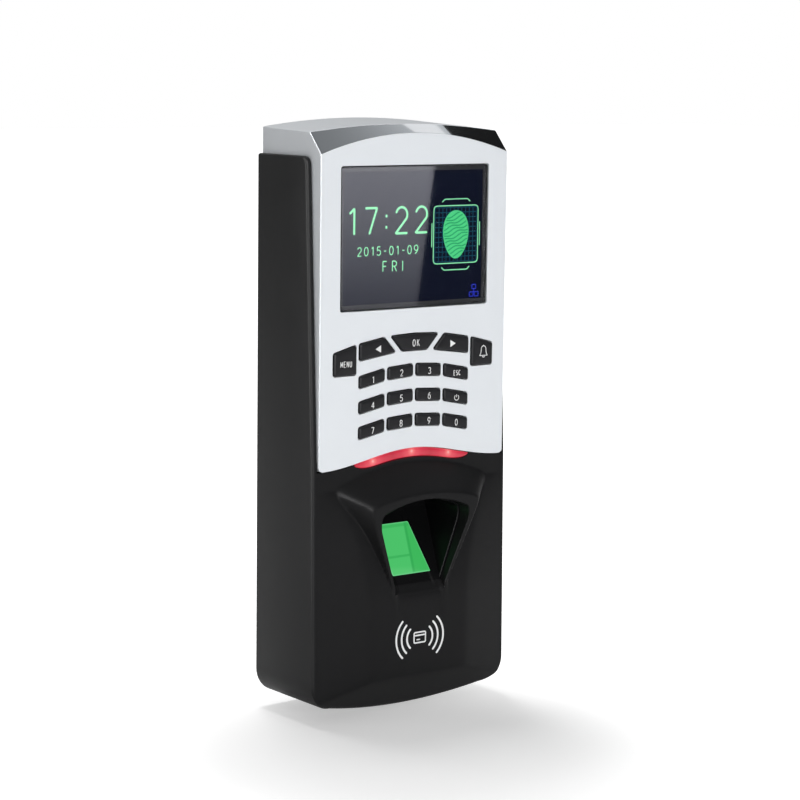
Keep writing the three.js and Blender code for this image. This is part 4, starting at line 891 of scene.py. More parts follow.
tree = red_lens.node_tree
led_places = [(x / 1000, bar_front / 1000, float(seam(x) - 1.2) / 1000) for x in (-17.2, -0.5, 15.7)]
nearest = distance_to(tree, led_places[0])
for led_place in led_places[1:]:
    nearest = reckoned(tree, "MINIMUM", nearest, distance_to(tree, led_place))
glow = tree.nodes.new("ShaderNodeValToRGB")
for place, colour in ((0.07, shade(255, 132, 132)), (0.2, shade(238, 84, 98)), (0.5, shade(218, 58, 78))):
    glow.color_ramp.elements.new(place).color = colour
glow.color_ramp.elements[0].color = shade(255, 206, 196)
glow.color_ramp.elements[-1].color = shade(196, 46, 64)
tree.links.new(ranged(tree, nearest, 0.0, 0.009), glow.inputs["Fac"])
shader = tree.nodes["Principled BSDF"]
tree.links.new(glow.outputs["Color"], shader.inputs["Emission Color"])
shader.inputs["Emission Strength"].default_value = 0.85
light_bar = build("light_bar_diffuser", [woven(bar_points)], red_lens, crease=60)
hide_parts("light_bar")

# Card symbol
# White print on the reader panel that shows where a card is held: a plain card outline with three
# waves on each side. It is a thin film of ink that follows the panel.


def stroke(path, width, ink=0.05, ground=None, round_ends=True, step=0.4):
    """A printed line: a path of front-view points widened by half its width each side, with round
    ends, and laid `ink` millimetres thick on the ground's depth. It has a section every `step`
    millimetres."""
    path = np.asarray(path, float)
    length = run_along(path)[-1]
    half = width / 2
    if round_ends:
        turn = np.linspace(0, np.pi / 2, 7)
        inner = np.concatenate([half * (1 - np.cos(turn)),
                                np.linspace(half, length - half, max(4, int(length / step)))[1:-1],
                                length - half * (1 - np.cos(turn[::-1]))])
        near_end = np.minimum(inner, length - inner)
        spread = half * np.sqrt(np.clip(1 - np.clip(1 - near_end / half, 0, 1) ** 2, 0, 1))
    else:
        inner = np.linspace(0, length, max(2, int(length / step)))
        spread = np.full(len(inner), half)
    line = points_at(path, inner)
    ahead = np.gradient(line, axis=0)
    ahead /= np.maximum(np.linalg.norm(ahead, axis=1)[:, None], 1e-9)
    side = np.stack([-ahead[:, 1], ahead[:, 0]], axis=1) * spread[:, None]
    left, right = line + side, line - side
    sections = [lift(left, ground(*left.T) - ink), lift(right, ground(*right.T) - ink),
                lift(right, ground(*right.T) + ink / 2), lift(left, ground(*left.T) + ink / 2)]
    patches = [woven(np.stack(sections), ring=False, closed=True)]
    if not round_ends:
        for end in (0, -1):
            patches.append((np.array([section[end] for section in sections]), np.array([[0, 1, 2, 3]])))
    return patches


def arc(middle_x, middle_z, radius_x, radius_z, start, stop, count=24):
    """Part of an ellipse, between two turns in degrees anticlockwise from the right."""
    turn = np.radians(np.linspace(start, stop, count))
    return np.stack([middle_x + radius_x * np.cos(turn), middle_z + radius_z * np.sin(turn)], axis=1)


white_ink = finish("white print", shade(232, 233, 233), 0.5, grain=0.15, relief=0.002, mottle=0.02)
symbol_z = level(168.0)
symbol_strokes = []
for side in (0, 180):
    for radius, out, spread in ((4.5, 5.6, 51), (6.75, 7.95, 49.5), (8.9, 10.3, 48.5)):
        middle_x = (out - radius) * (1 if side == 0 else -1)
        wave = arc(middle_x, symbol_z, radius, radius, side - spread, side + spread, 40)
        symbol_strokes += stroke(wave, 0.72, ground=case_face)
card_frame = looped(rectangle(2.5, 1.85, 0.5, symbol_z))
symbol_strokes += stroke(card_frame, 0.5, ground=case_face, round_ends=False, step=0.12)
symbol_strokes += stroke([(-2.2, symbol_z + 0.75), (2.2, symbol_z + 0.75)], 0.5, ground=case_face)
symbol_strokes += stroke([(-1.4, symbol_z - 0.75), (0.2, symbol_z - 0.75)], 0.4, ground=case_face)
card_symbol = build("card_symbol", symbol_strokes, white_ink, crease=50)

# Silver cap
# One moulding in silver paint: the front plate with the display window and a slot for each key, a
# bright plated bevel along the arched top, the roof, and the sides, which reach the wall only above
# the side panels. All its outside edges are slightly rounded and catch the light.

plate_wall = 1.9
bevel_back = 6.7
skirt_back = 9
rear_depth = rear - front
side_cut = level(4)


def crown(x, side_rise, middle_rise):
    """Arched upper edge: a parabola from its height at the sides to its height in the middle."""
    return level(0) + middle_rise - (middle_rise - side_rise) * (x / cap_half) ** 2


def face_crown(x):
    """Upper edge of the front plate."""
    return crown(x, 0, 6.9)


def bevel_crown(x):
    """Rear line of the bevel."""
    return crown(x, 7.3, 9.8)


def roof_crown(x, back):
    """Height of the roof, a straight mix from the bevel's rear line to the roof's rear edge."""
    share = (back - bevel_back) / (rear_depth - bevel_back)
    return between(bevel_crown(x), crown(x, 8.3, 11.2), share)


def cap_run(x, back, z):
    """Points of one stretch of a line round the cap, `back` behind the face. x or z may be one
    number for the whole stretch."""
    return np.stack(np.broadcast_arrays(x, front + back, z), axis=1)


def cap_loop(half, top, back, rear_back=None, low_back=None):
    """One line round the cap: over the top from left to right, down the right side, along the seam
    and up the left side, with round corners. `top` gives the height over x, and the depths behind
    the face are for the top and upper sides, for the sides below the cut, and along the seam."""
    rear_back = back if rear_back is None else rear_back
    low_back = back if low_back is None else low_back
    x = np.linspace(0, 1, 70) * (half - 0.5)
    right = cap_run(x, rear_back, top(x))
    corner = np.array([half, front + rear_back, top(half)])
    turn = bend(right[-1], corner, corner - [0, 0, 0.5], 7)[1:]
    upper = cap_run(half, rear_back, np.linspace(corner[2] - 0.5, side_cut, 10)[1:])
    lower = cap_run(half, back, np.linspace(side_cut, seam_side + 2, 60))
    x = np.linspace(half - 2, 0, 90)
    foot = cap_run(x, low_back, seam(x))
    foot_corner = np.array([half, front + (back + low_back) / 2, seam_side])
    foot_turn = bend(lower[-1], foot_corner, foot[0], 9)[1:-1]
    path = np.concatenate([right, turn, upper, lower, foot_turn, foot])
    return np.concatenate([path, path[-2:0:-1] * [-1, 1, 1]])


def eased(loops, reaches, steps=5):
    """Rounds a profile where its lines turn: each inner line is replaced by a bend that leaves it
    `reach` before and lands `reach` after, with one more line on each side to hold the flats."""
    eased_loops = [loops[0]]
    for before, corner, after, reach in zip(loops, loops[1:], loops[2:], reaches):
        if np.all(np.asarray(reach) == 0):
            eased_loops.append(corner)
            continue
        arms = []
        for other in (before, after):
            run = other - corner
            length = np.linalg.norm(run, axis=1)[:, None]
            step = np.minimum(np.reshape(reach, (-1, 1)), 0.45 * length)
            arms.append(run / np.maximum(length, 1e-9) * step)
        eased_loops.append(corner + 1.08 * arms[0])
        eased_loops.extend(bend(corner + arms[0], corner, corner + arms[1], steps))
        eased_loops.append(corner + 1.08 * arms[1])
    eased_loops.append(loops[-1])
    return np.array(eased_loops)


inner_half = cap_half - plate_wall
face_loop = cap_loop(cap_half, face_crown, 0)
outer_loops = [
    face_loop,
    cap_loop(cap_half, bevel_crown, bevel_back, low_back=plate_wall),
    cap_loop(cap_half, lambda x: roof_crown(x, skirt_back), skirt_back, low_back=plate_wall),
    cap_loop(cap_half, lambda x: roof_crown(x, rear_depth), skirt_back, rear_depth, plate_wall),
]
inner_loops = [
    cap_loop(inner_half, lambda x: roof_crown(x, rear_depth) - plate_wall,
             skirt_back, rear_depth, plate_wall),
    cap_loop(inner_half, lambda x: roof_crown(x, skirt_back) - plate_wall,
             skirt_back, low_back=plate_wall),
    cap_loop(inner_half, lambda x: bevel_crown(x) - 2.2, bevel_back + 0.8, low_back=plate_wall),
    cap_loop(inner_half, lambda x: face_crown(x) - 1.2, plate_wall),
]
seam_part = np.abs(face_loop[:, 2] - seam(face_loop[:, 0])) < 0.01
for loop in inner_loops:
    loop[seam_part] = outer_loops[1][seam_part]
on_side = (np.abs(face_loop[:, 0]) > cap_half - 0.02) & ~seam_part
face_reach = np.where(on_side, 0.5, 0.26)
face_inner = lift(offset(face_loop[:, [0, 2]], -0.6), front)
cap_loops = eased([face_inner, *outer_loops, *inner_loops],
                  [face_reach, 0.32, 0, 0.25, 0.2, 0, 0, 0])

window_low, window_high = (np.array(corner) * 1000 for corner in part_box("display_lens"))
window_middle = (window_low[2] + window_high[2]) / 2
window_half_x = window_high[0] + gap
window_half_z = (window_high[2] - window_low[2]) / 2 + gap

# Key shapes, from which the slots are cut and the keys are moulded: the rows follow shallow arcs.
key_width, key_height, column_pitch, row_pitch = 10.6, 4.0, 12.15, 8.75
row_half = 1.5 * column_pitch + key_width / 2
function_height, ok_foot_half, ok_top_half = 5.6, 5.4, 10.1
arrow_foot_x, arrow_top_x = 8.3, 13.0
tall_inner, tall_outer, tall_foot = row_half + 1.5, cap_half - 5.7, level(74.54)


def function_arc(x):
    """Upper edge of the function keys, 2.4 mm lower at the row's ends."""
    return level(61.84) - 2.4 * (x / row_half) ** 2


def number_arc(row, x):
    """Upper edge of a row of number keys, 3 mm lower at its ends."""
    return level(72.39 + row * row_pitch) - 3 * (x / row_half) ** 2


def mirrored(corners):
    """The same key on the left: turned over, and its corners put back in order."""
    return [(-x, z) for x, z in reversed(corners)]


def key_shapes():
    """Corners of every key, anticlockwise from the front, by the key's CAD node."""
    def foot(x):
        return function_arc(x) - function_height
    shapes = {"key_ok": [(-ok_foot_half, foot(ok_foot_half)), (ok_foot_half, foot(ok_foot_half)),
                         (ok_top_half, function_arc(ok_top_half)), (0, function_arc(0)),
                         (-ok_top_half, function_arc(ok_top_half))]}
    arrow = [(row_half, foot(row_half)), (row_half, function_arc(row_half)),
             (arrow_top_x, function_arc(arrow_top_x)), (arrow_foot_x, foot(arrow_foot_x))]
    shapes["key_right"], shapes["key_left"] = arrow, mirrored(arrow)
    tall = [(tall_inner, tall_foot), (tall_outer, tall_foot), (tall_outer, function_arc(tall_outer)),
            (tall_inner, function_arc(tall_inner))]
    shapes["key_bell"], shapes["key_menu"] = tall, mirrored(tall)
    for row, names in enumerate((("1", "2", "3", "esc"), ("4", "5", "6", "power"), ("7", "8", "9", "0"))):
        for column, name in enumerate(names):
            x = (column - 1.5) * column_pitch
            x0, x1 = x - key_width / 2, x + key_width / 2
            z0, z1 = number_arc(row, x0), number_arc(row, x1)
            shapes["key_" + name] = [(x0, z0 - key_height), (x1, z1 - key_height), (x1, z1), (x0, z0)]
    return shapes


key_outlines = {node: rounded_polygon(corners, 0.8) for node, corners in key_shapes().items()}
holes = [rectangle(window_half_x, window_half_z, 1.1, window_middle)]
holes += [offset(outline, gap) for outline in key_outlines.values()]
hole_skins, front_holes, back_holes = [], [], []
for number, hole in enumerate(holes):
    edge = 0.12 if number == 0 else 0.3
    loops = eased([lift(offset(hole, 0.4), front), lift(hole, front), lift(hole, front + plate_wall),
                   lift(offset(hole, 0.2), front + plate_wall)], [edge, 0.08])
    hole_skins.append(woven(loops))
    front_holes.append(loops[0])
    back_holes.append(loops[-1])

silver_paint = finish("silver paint", shade(228, 232, 236), 0.3, grain=0.12, relief=0.003, mottle=0.012,
                      metal=0.1)
bright_plating = finish("bright plating", shade(214, 217, 221), 0.05, grain=2, relief=0.0, mottle=0.01,
                        metal=1.0)
cap = build("silver_cap_shell", [
    woven(cap_loops), filled(cap_loops[0], front_holes), filled(cap_loops[-1], back_holes), *hole_skins,
], silver_paint, crease=32)
centres = np.empty(len(cap.data.polygons) * 3)
cap.data.polygons.foreach_get("center", centres)
depths = centres[1::3] * 1000 - front
_, looks_back, looks_up = face_normals(cap).T
on_bevel = (depths > 0.1) & (depths < bevel_back - 0.1) & (looks_up > 0.3) & (looks_back < -0.1)
second_finish(cap, bright_plating, on_bevel)
cap.modifiers.new("flat faces", "WEIGHTED_NORMAL").keep_sharp = True
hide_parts("silver_cap")

# Keys
# Seventeen caps of dark grey plastic, each moulded with a lip that keeps it behind the silver
# plate. The face is slightly domed and its edge is well rounded, which gives each key a bright
# streak on the left. Legends are printed in white.

key_black = finish("key plastic", shade(35, 35, 37), 0.3, grain=0.3, relief=0.006, mottle=0.05,
                   Specular_IOR_Level=0.2)
key_proud = 0.75
key_round = 0.6
lip_reach, lip_near, lip_far = 0.55, front + 2.2, front + 3.0
face_depth = front - key_proud


def key_cap(outline):
    """A key: lines from the middle of the face out over its dome and its round edge, a quarter
    circle, down the side to the lip, and in again to the middle of the back."""
    middle = outline.mean(axis=0)

    def shrunk(loop, share):
        return middle + (loop - middle) * share
    flat = offset(outline, -0.72)
    lip = offset(outline, lip_reach)
    face = [lift(shrunk(flat, 0), face_depth - 0.1), lift(shrunk(flat, 0.5), face_depth - 0.085),
            lift(flat, face_depth - 0.03)]
    turns = np.linspace(0, math.pi / 2, 8)
    insets, drops = key_round * (1 - np.sin(turns)), key_round * (1 - np.cos(turns))
    edge = [lift(offset(outline, -inset), face_depth + drop) for inset, drop in zip(insets, drops)]
    foot = eased([edge[-1], lift(outline, lip_near), lift(lip, lip_near), lift(lip, lip_far),
                  lift(shrunk(lip, 0), lip_far)], [0.1, 0.12, 0.12])
    return woven([*face, *edge, *foot[1:]])


key_bodies = {"1": "one", "2": "two", "3": "three", "4": "four", "5": "five", "6": "six", "7": "seven",
              "8": "eight", "9": "nine", "0": "zero"}


def key_body(node):
    """Name of the body that a key's CAD node moves with."""
    name = node.removeprefix("key_")
    return key_bodies.get(name, name) + "_key"


for node, outline in key_outlines.items():
    key = build(node + "_cap", [key_cap(outline)], key_black, crease=50, body=key_body(node))
    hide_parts(node)


def signs():
    """A plain engraver's signs, the few that the keys and the screen need. Each is lines and arcs
    in a box one unit tall, with the sign's width."""
    six_stem = bend(np.array([0.47, 1.0]), np.array([0.04, 0.84]), np.array([0, 0.36]), 12)
    six = np.array([*six_stem, *arc(0.28, 0.31, 0.28, 0.31, 170, 530, 36)])
    three = [*arc(0.26, 0.75, 0.25, 0.25, 155, -90, 20), *arc(0.26, 0.25, 0.29, 0.25, 90, -155, 22)]
    five = [(0.52, 1), (0.1, 1), (0.05, 0.56), *arc(0.26, 0.31, 0.29, 0.31, 132, -150, 26)]
    eight = [arc(0.28, 0.755, 0.235, 0.245, -90, 270, 32), arc(0.28, 0.255, 0.28, 0.255, 90, 450, 36)]
    round_s = [*arc(0.26, 0.75, 0.25, 0.25, 35, 270, 20), *arc(0.26, 0.25, 0.27, 0.25, 90, -150, 20)]
    bowl = arc(0.26, 0.745, 0.25, 0.255, 90, -90, 14)
    return {
        "0": ([arc(0.28, 0.5, 0.28, 0.5, 90, 450, 44)], 0.56),
        "1": ([[(0.08, 0.8), (0.3, 1), (0.3, 0)]], 0.42),
        "2": ([[*arc(0.28, 0.71, 0.27, 0.29, 168, -30, 22), (0, 0), (0.57, 0)]], 0.57),
        "3": ([three], 0.55),
        "4": ([[(0.43, 0), (0.43, 1), (0, 0.3), (0.6, 0.3)]], 0.6),
        "5": ([five], 0.56),
        "6": ([six], 0.56),
        "7": ([[(0, 1), (0.56, 1), (0.2, 0)]], 0.56),
        "8": (eight, 0.56),
        "9": ([[0.56, 1] - six], 0.56),
        ":": ([[(0.06, 0.19), (0.06, 0.31)], [(0.06, 0.62), (0.06, 0.74)]], 0.12),
        "-": ([[(0.04, 0.46), (0.4, 0.46)]], 0.44),
        "M": ([[(0, 0), (0, 1), (0.32, 0.25), (0.64, 1), (0.64, 0)]], 0.64),
        "E": ([[(0.48, 1), (0, 1), (0, 0), (0.48, 0)], [(0, 0.52), (0.42, 0.52)]], 0.48),
        "N": ([[(0, 0), (0, 1), (0.54, 0), (0.54, 1)]], 0.54),
        "U": ([[(0, 1), *arc(0.27, 0.28, 0.27, 0.28, 180, 360, 16), (0.54, 1)]], 0.54),
        "O": ([arc(0.31, 0.5, 0.31, 0.5, 90, 450, 44)], 0.62),
        "K": ([[(0, 0), (0, 1)], [(0.5, 1), (0, 0.42)], [(0.15, 0.58), (0.53, 0)]], 0.53),
        "S": ([round_s], 0.53),
        "C": ([arc(0.3, 0.5, 0.3, 0.5, 48, 312, 34)], 0.54),
        "F": ([[(0.46, 1), (0, 1), (0, 0)], [(0, 0.53), (0.4, 0.53)]], 0.46),
        "R": ([[(0, 0), (0, 1), *bowl, (0, 0.49)], [(0.24, 0.49), (0.52, 0)]], 0.52),
        "I": ([[(0.04, 0), (0.04, 1)]], 0.08),
    }


sign_shapes = signs()


def lettering(text, height, middle, line, ground, ink=0.05, squeeze=1.0, space=0.26):
    """Printed text: signs set side by side and centred on a front-view point. `squeeze` narrows
    it and `space` is the gap between signs, in heights."""
    placed, across = [], 0.0
    for letter in text:
        strokes, width = sign_shapes[letter]
        placed += [np.array(path, float) + [across, 0] for path in strokes]
        across += width + space
    shift = np.array([(across - space) / 2, 0.5])
    scale = np.array([height * squeeze, height])
    patches = []
    for path in placed:
        patches += stroke(middle + (path - shift) * scale, line, ink, ground, step=height / 26)
    return patches


legend_depth = face_depth - 0.1


def dome(x, z):
    """Depth of the keys' faces where a legend is printed."""
    return legend_depth + 0 * x


key_middles = {node: (outline.min(axis=0) + outline.max(axis=0)) / 2
               for node, outline in key_outlines.items()}
words = {"key_ok": ("OK", 2.3, 0.74, 0.5), "key_menu": ("MENU", 1.9, 0.68, 0.44),
         "key_esc": ("ESC", 1.65, 0.72, 0.42)}
words.update({"key_" + digit: (digit, 2.15, 0.84, 0) for digit in "0123456789"})
for node, (word, height, squeeze, space) in words.items():
    middle = key_middles[node] - [0, 1.0 if node == "key_menu" else 0.3]
    strokes = lettering(word, height, middle, 0.25, dome, squeeze=squeeze, space=space)
    legend = build(node + "_legend", strokes, white_ink, crease=50, body=key_body(node))


def symbol_triangle(middle, side):
    """A filled arrowhead that points left or right, as a plate of ink."""
    x, z = middle
    corners = [(x + side * 1.3, z), (x - side * 1.0, z + 1.25), (x - side * 1.0, z - 1.25)]
    return plate(rounded_polygon(corners, 0.15), legend_depth - 0.05, legend_depth + 0.03, 0.01)


def symbol_bell(middle):
    """A bell outline: a round crown whose sides swell out to the mouth, with a small knob above and
    a clapper below."""
    x, z = middle[0] + 0.35, middle[1] - 0.15
    crown_arc = arc(x, z + 0.75, 1.05, 1.15, 0, 180, 24)
    side_run = bend(np.array([x + 1.05, z + 0.75]), np.array([x + 1.05, z - 0.7]),
                    np.array([x + 1.75, z - 1.5]), 14)
    left_run = side_run * [-1, 1] + [2 * x, 0]
    outline = np.concatenate([side_run[::-1], crown_arc[1:-1], left_run, side_run[-1:]])
    strokes = stroke(outline, 0.26, ground=dome, step=0.1)
    strokes += stroke([(x, z + 2.0), (x, z + 2.2)], 0.42, ground=dome, step=0.1)
    strokes += stroke(arc(x, z - 1.6, 0.5, 0.5, 200, 340, 12), 0.3, ground=dome, step=0.1)
    return strokes


def symbol_power(middle):
    """A ring, open at the top, with a short bar in the gap."""
    x, z = middle
    return (stroke(arc(x, z, 0.95, 0.95, 125, 415, 40), 0.24, ground=dome, step=0.1)
            + stroke([(x, z + 1.1), (x, z + 0.1)], 0.24, ground=dome, step=0.1))


symbols = {"key_left": symbol_triangle(key_middles["key_left"], -1),
           "key_right": symbol_triangle(key_middles["key_right"], 1),
           "key_bell": symbol_bell(key_middles["key_bell"]),
           "key_power": symbol_power(key_middles["key_power"] - [0, 0.3])}
for node, patches in symbols.items():
    symbol = build(node + "_symbol", patches, white_ink, crease=50, body=key_body(node))

# Display
# The LCD is a glass panel with a polarising front glass that fills the gasket's opening. Over it
# lies the clear window, with a dark grey border and a thin black line printed on its back. What the
# screen shows is a lit film on the polariser.

lcd_low, lcd_high = (np.array(corner) * 1000 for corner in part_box("lcd_panel"))
screen_half_x, screen_half_z = 30.0, 22.5
screen_depth = front + 2.05
lcd_black = finish("unlit liquid crystal", shade(10, 12, 20), 0.35, grain=0.2, relief=0.0, mottle=0.02,
                   Emission_Color=shade(14, 18, 34), Emission_Strength=0.8, Specular_IOR_Level=0.0)
lcd_half = [(lcd_high[0] - lcd_low[0]) / 2, (lcd_high[2] - lcd_low[2]) / 2]
lcd = build("lcd_glass", plate(rectangle(*lcd_half, 0.6, window_middle), lcd_low[1], lcd_high[1], 0.15)
            + plate(rectangle(screen_half_x + 0.2, screen_half_z + 0.2, 0.4, window_middle),
                    screen_depth, lcd_low[1], 0.05), lcd_black)
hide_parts("lcd_panel")


def border(name, outer, inner, depth, material):
    """A printed frame between two rounded rectangles, a few hundredths of a millimetre thick."""
    rings = np.stack([lift(inner, depth), lift(outer, depth), lift(outer, depth + 0.04),
                      lift(inner, depth + 0.04)])
    piece = build(name, [woven(rings, closed=True)], material)


print_depth = front + 1.57
print_edge = rectangle(window_half_x - gap, window_half_z - gap, 0.9, window_middle)
line_edge = rectangle(window_half_x - gap - 0.35, window_half_z - gap - 0.35, 0.7, window_middle)
view_edge = rectangle(screen_half_x, screen_half_z, 0.15, window_middle)
black_print = finish("black print", shade(14, 14, 15), 0.5, grain=0.2, relief=0.0)
grey_print = finish("dark grey print", shade(44, 44, 46), 0.5, grain=0.2, relief=0.0)
border("border_line", print_edge, line_edge, print_depth, black_print)
border("border_print", line_edge, view_edge, print_depth, grey_print)

window_glass = bpy.data.materials.new("window glass")
window_glass.use_nodes = True
shader = window_glass.node_tree.nodes["Principled BSDF"]
shader.inputs["Base Color"].default_value = (0.97, 0.98, 1.0, 1)
shader.inputs["Roughness"].default_value = 0.02
shader.inputs["IOR"].default_value = 1.45
shader.inputs["Transmission Weight"].default_value = 1.0
lens = build("window_pane", plate(print_edge, window_low[1], window_high[1], 0.2), window_glass)
second_finish(lens, black_print, np.abs(face_normals(lens)[:, 1]) < 0.9)
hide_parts("display_lens")


def screen_ink(name, colour, strength=1.0):
    """Lit pixels of one colour: the film emits its colour and hardly reflects."""
    return finish(name, tuple(0.2 * channel for channel in colour[:3]), 0.5, grain=0.2, relief=0.0,
                  mottle=0.02, Emission_Color=colour, Emission_Strength=strength,
                  Specular_IOR_Level=0.0)


mint = screen_ink("mint pixels", shade(140, 232, 172))
green = screen_ink("green pixels", shade(78, 200, 128))
leaf = screen_ink("leaf green pixels", shade(46, 158, 98))
teal = screen_ink("dark teal pixels", shade(20, 66, 84))
blue = screen_ink("blue pixels", shade(44, 54, 190))


def glass(x, z):
    """Depth of the polariser, on which the film lies."""
    return screen_depth + 0 * x


for name, text, height, line, place, squeeze, space in (
        ("clock_digits", "17:22", 8.9, 0.84, (-10.9, level(22.8)), 1.0, 0.39),
        ("date_digits", "2015-01-09", 2.9, 0.34, (-10.8, level(33.0)), 0.98, 0.44),
        ("weekday_letters", "FRI", 3.5, 0.38, (-8.6, level(38.4)), 0.98, 0.72)):
    strokes = lettering(text, height, place, line, glass, 0.02, squeeze, space)
    words_piece = build(name, strokes, mint, crease=50)

# The finger picture: an egg-shaped pad under wavy ridges, on a grid in a frame with round corners.
print_x, print_z = 18.6, level(28.4)
pad_half_x, pad_half_z, pad_swell = 5.6, 8.4, 0.14
pad_turn = np.linspace(0, 2 * np.pi, 64, endpoint=False)
pad_narrow = 1 + pad_swell * np.sin(pad_turn)
pad_outline = np.stack([print_x + pad_half_x * np.cos(pad_turn) * pad_narrow,
                        print_z + pad_half_z * np.sin(pad_turn)], axis=1)
pad = build("fingerprint_pad", plate(pad_outline, screen_depth - 0.02, screen_depth + 0.01, 0.005), green)
ridges = []
ridge_half_x, ridge_half_z, ridge_tilt, ridge_wave = 5.3, 8.0, 0.26, 0.42
ridge_x = np.linspace(-5.4, 5.4, 55)
for ridge_middle in np.linspace(-6.9, 6.9, 12):
    ridge_z = ridge_middle + ridge_tilt * ridge_x + ridge_wave * np.sin(0.85 * ridge_x + ridge_middle)
    width_here = ridge_half_x * (1 + pad_swell * ridge_z / pad_half_z)
    within = (ridge_x / width_here) ** 2 + (ridge_z / ridge_half_z) ** 2 < 1
    ridges += stroke(np.stack([print_x + ridge_x[within], print_z + ridge_z[within]], axis=1), 0.42,
                     ink=0.03, ground=glass)
fingerprint = build("fingerprint_ridges", ridges, leaf, crease=50)
grid = []
grid_half_x, grid_half_z = 9.2, 9.4
for x in np.linspace(-grid_half_x, grid_half_x, 12):
    grid += stroke([(print_x + x, print_z - grid_half_z), (print_x + x, print_z + grid_half_z)], 0.3,
                   ink=0.012, ground=glass, step=2)
for z in np.linspace(-grid_half_z, grid_half_z, 12):
    grid += stroke([(print_x - grid_half_x, print_z + z), (print_x + grid_half_x, print_z + z)], 0.3,
                   ink=0.012, ground=glass, step=2)
scan_grid = build("scan_grid", grid, teal, crease=50)
frame_path = rectangle(grid_half_x + 0.6, grid_half_z + 0.6, 1.6, print_z) + [print_x, 0]
bracket_paths = [looped(frame_path)]
for side in (-1, 1):
    hook_z = print_z + side * (grid_half_z + 1.9)
    side_x = print_x + side * (grid_half_x + 1.35)
    bracket_paths.append([(print_x - 6.2, hook_z), (print_x - 5.0, hook_z + side * 1.0),
                          (print_x + 5.0, hook_z + side * 1.0), (print_x + 6.2, hook_z)])
    bracket_paths.append([(side_x, print_z - 4.2), (side_x, print_z + 4.2)])
brackets = []
for path in bracket_paths:
    brackets += stroke(path, 0.34, ink=0.02, ground=glass)
scan_brackets = build("scan_brackets", brackets, mint, crease=50)

# Three linked tiles in the screen's lower corner stand for a network sign.
tiles = []
tile_x, tile_z = 27.0, level(48.3)
for x, z in ((-1.1, -1.3), (1.1, -1.3), (0, 1.3)):
    tile = rectangle(0.85, 0.75, 0.2, tile_z + z) + [tile_x + x, 0]
    tiles += stroke(looped(tile), 0.3, ink=0.02, ground=glass, step=0.15)
tiles += stroke([(tile_x - 1.1, tile_z - 0.5), (tile_x + 1.1, tile_z - 0.5)], 0.26, ink=0.02, ground=glass)
tiles += stroke([(tile_x, tile_z - 0.4), (tile_x, tile_z + 0.5)], 0.26, ink=0.02, ground=glass)
status_tiles = build("status_tiles", tiles, blue, crease=50)

# Floor, backdrop and studio light
# A pale floor and a white backdrop. The floor glows less near the terminal's foot, a painted
# shadow that deepens the one the lamps cast. A large soft lamp in front lights the face, and one
# above and behind drops the shadow forwards. Black flags and lit cards stand out of the camera's
# view and shape what the dark and polished faces mirror, as in a product photographer's studio.

# The case's foot hangs 1.2 mm below the solids, and the floor lies 1.5 mm below that.
floor_drop = 0.0027
floor_level = cad_box[0][2] - floor_drop
floor_reach = 6.0
plain_white = (1, 1, 1, 1)


def card(name, corners, material, shades=False):
    """A flat card through four corners, which no camera sees. Only one that `shades` blocks light;
    the others are there for glossy and clear faces alone."""
    mesh = bpy.data.meshes.new(name)
    mesh.from_pydata([tuple(map(float, corner)) for corner in corners], [], [(0, 1, 2, 3)])
    mesh.materials.append(material)
    sheet = bpy.data.objects.new(name, mesh)
    bpy.context.collection.objects.link(sheet)
    sheet.visible_camera = False
    sheet.visible_diffuse = shades
    sheet.visible_shadow = shades
    return sheet


def upright(first, second, low, high):
    """Corners of an upright card that stands over two points, between two heights."""
    return [(*first, low), (*second, low), (*second, high), (*first, high)]


def seen_directly(tree, *kinds):
    """1 for rays of the named kinds, and 0 for all others."""
    path = tree.nodes.new("ShaderNodeLightPath")
    seen = path.outputs[kinds[0]]
    for kind in kinds[1:]:
        seen = reckoned(tree, "MAXIMUM", seen, path.outputs[kind])
    return seen


floor_white = bpy.data.materials.new("floor white")
floor_white.use_nodes = True
tree = floor_white.node_tree
shader = tree.nodes["Principled BSDF"]
shader.inputs["Base Color"].default_value = (0.75, 0.75, 0.75, 1)
shader.inputs["Roughness"].default_value = 0.9
shader.inputs["Specular IOR Level"].default_value = 0.1
shader.inputs["Emission Color"].default_value = plain_white
# Painted shadow: the floor's glow is weakest within 4 cm of a point in front of the terminal's foot, and it
# reaches full strength 15 cm away.
away = distance_to(tree, (-0.03, -0.08, floor_level))
glow_round_painted_shadow = ranged(tree, away, 0.04, 0.15, 0.35, 1.0, "SMOOTHSTEP")
mirrored_part = ranged(tree, seen_directly(tree, "Is Glossy Ray"), 0.0, 1.0, 0.0, 0.3)
seen = reckoned(tree, "MAXIMUM", seen_directly(tree, "Is Camera Ray", "Is Transmission Ray"), mirrored_part)
tree.links.new(reckoned(tree, "MULTIPLY", glow_round_painted_shadow, seen), shader.inputs["Emission Strength"])
floor_corners = [(x * floor_reach, y * floor_reach, floor_level)
                 for x, y in ((-1, -1), (1, -1), (1, 1), (-1, 1))]
floor = card("floor", floor_corners, floor_white, shades=True)
floor.visible_camera = True

world = bpy.data.worlds.new("studio")
bpy.context.scene.world = world
world.use_nodes = True
tree = world.node_tree
ambient = tree.nodes["Background"]
ambient.inputs["Color"].default_value = plain_white
seen = seen_directly(tree, "Is Camera Ray", "Is Glossy Ray", "Is Transmission Ray")
tree.links.new(ranged(tree, seen, 0.0, 1.0, 0.26, 1.0), ambient.inputs["Strength"])


def lamp(name, place, target, size, power):
    """A square soft lamp that faces a target point. Shiny faces mirror the cards and not the lamp,
    so that the window is clear from every side."""
    data = bpy.data.lights.new(name, "AREA")
    data.size = size
    data.energy = power
    light = bpy.data.objects.new(name, data)
    turn = (Vector(target) - Vector(place)).to_track_quat("-Z", "Y")
    light.matrix_world = Matrix.Translation(Vector(place)) @ turn.to_matrix().to_4x4()
    light.visible_glossy = False
    light.visible_transmission = False
    bpy.context.collection.objects.link(light)


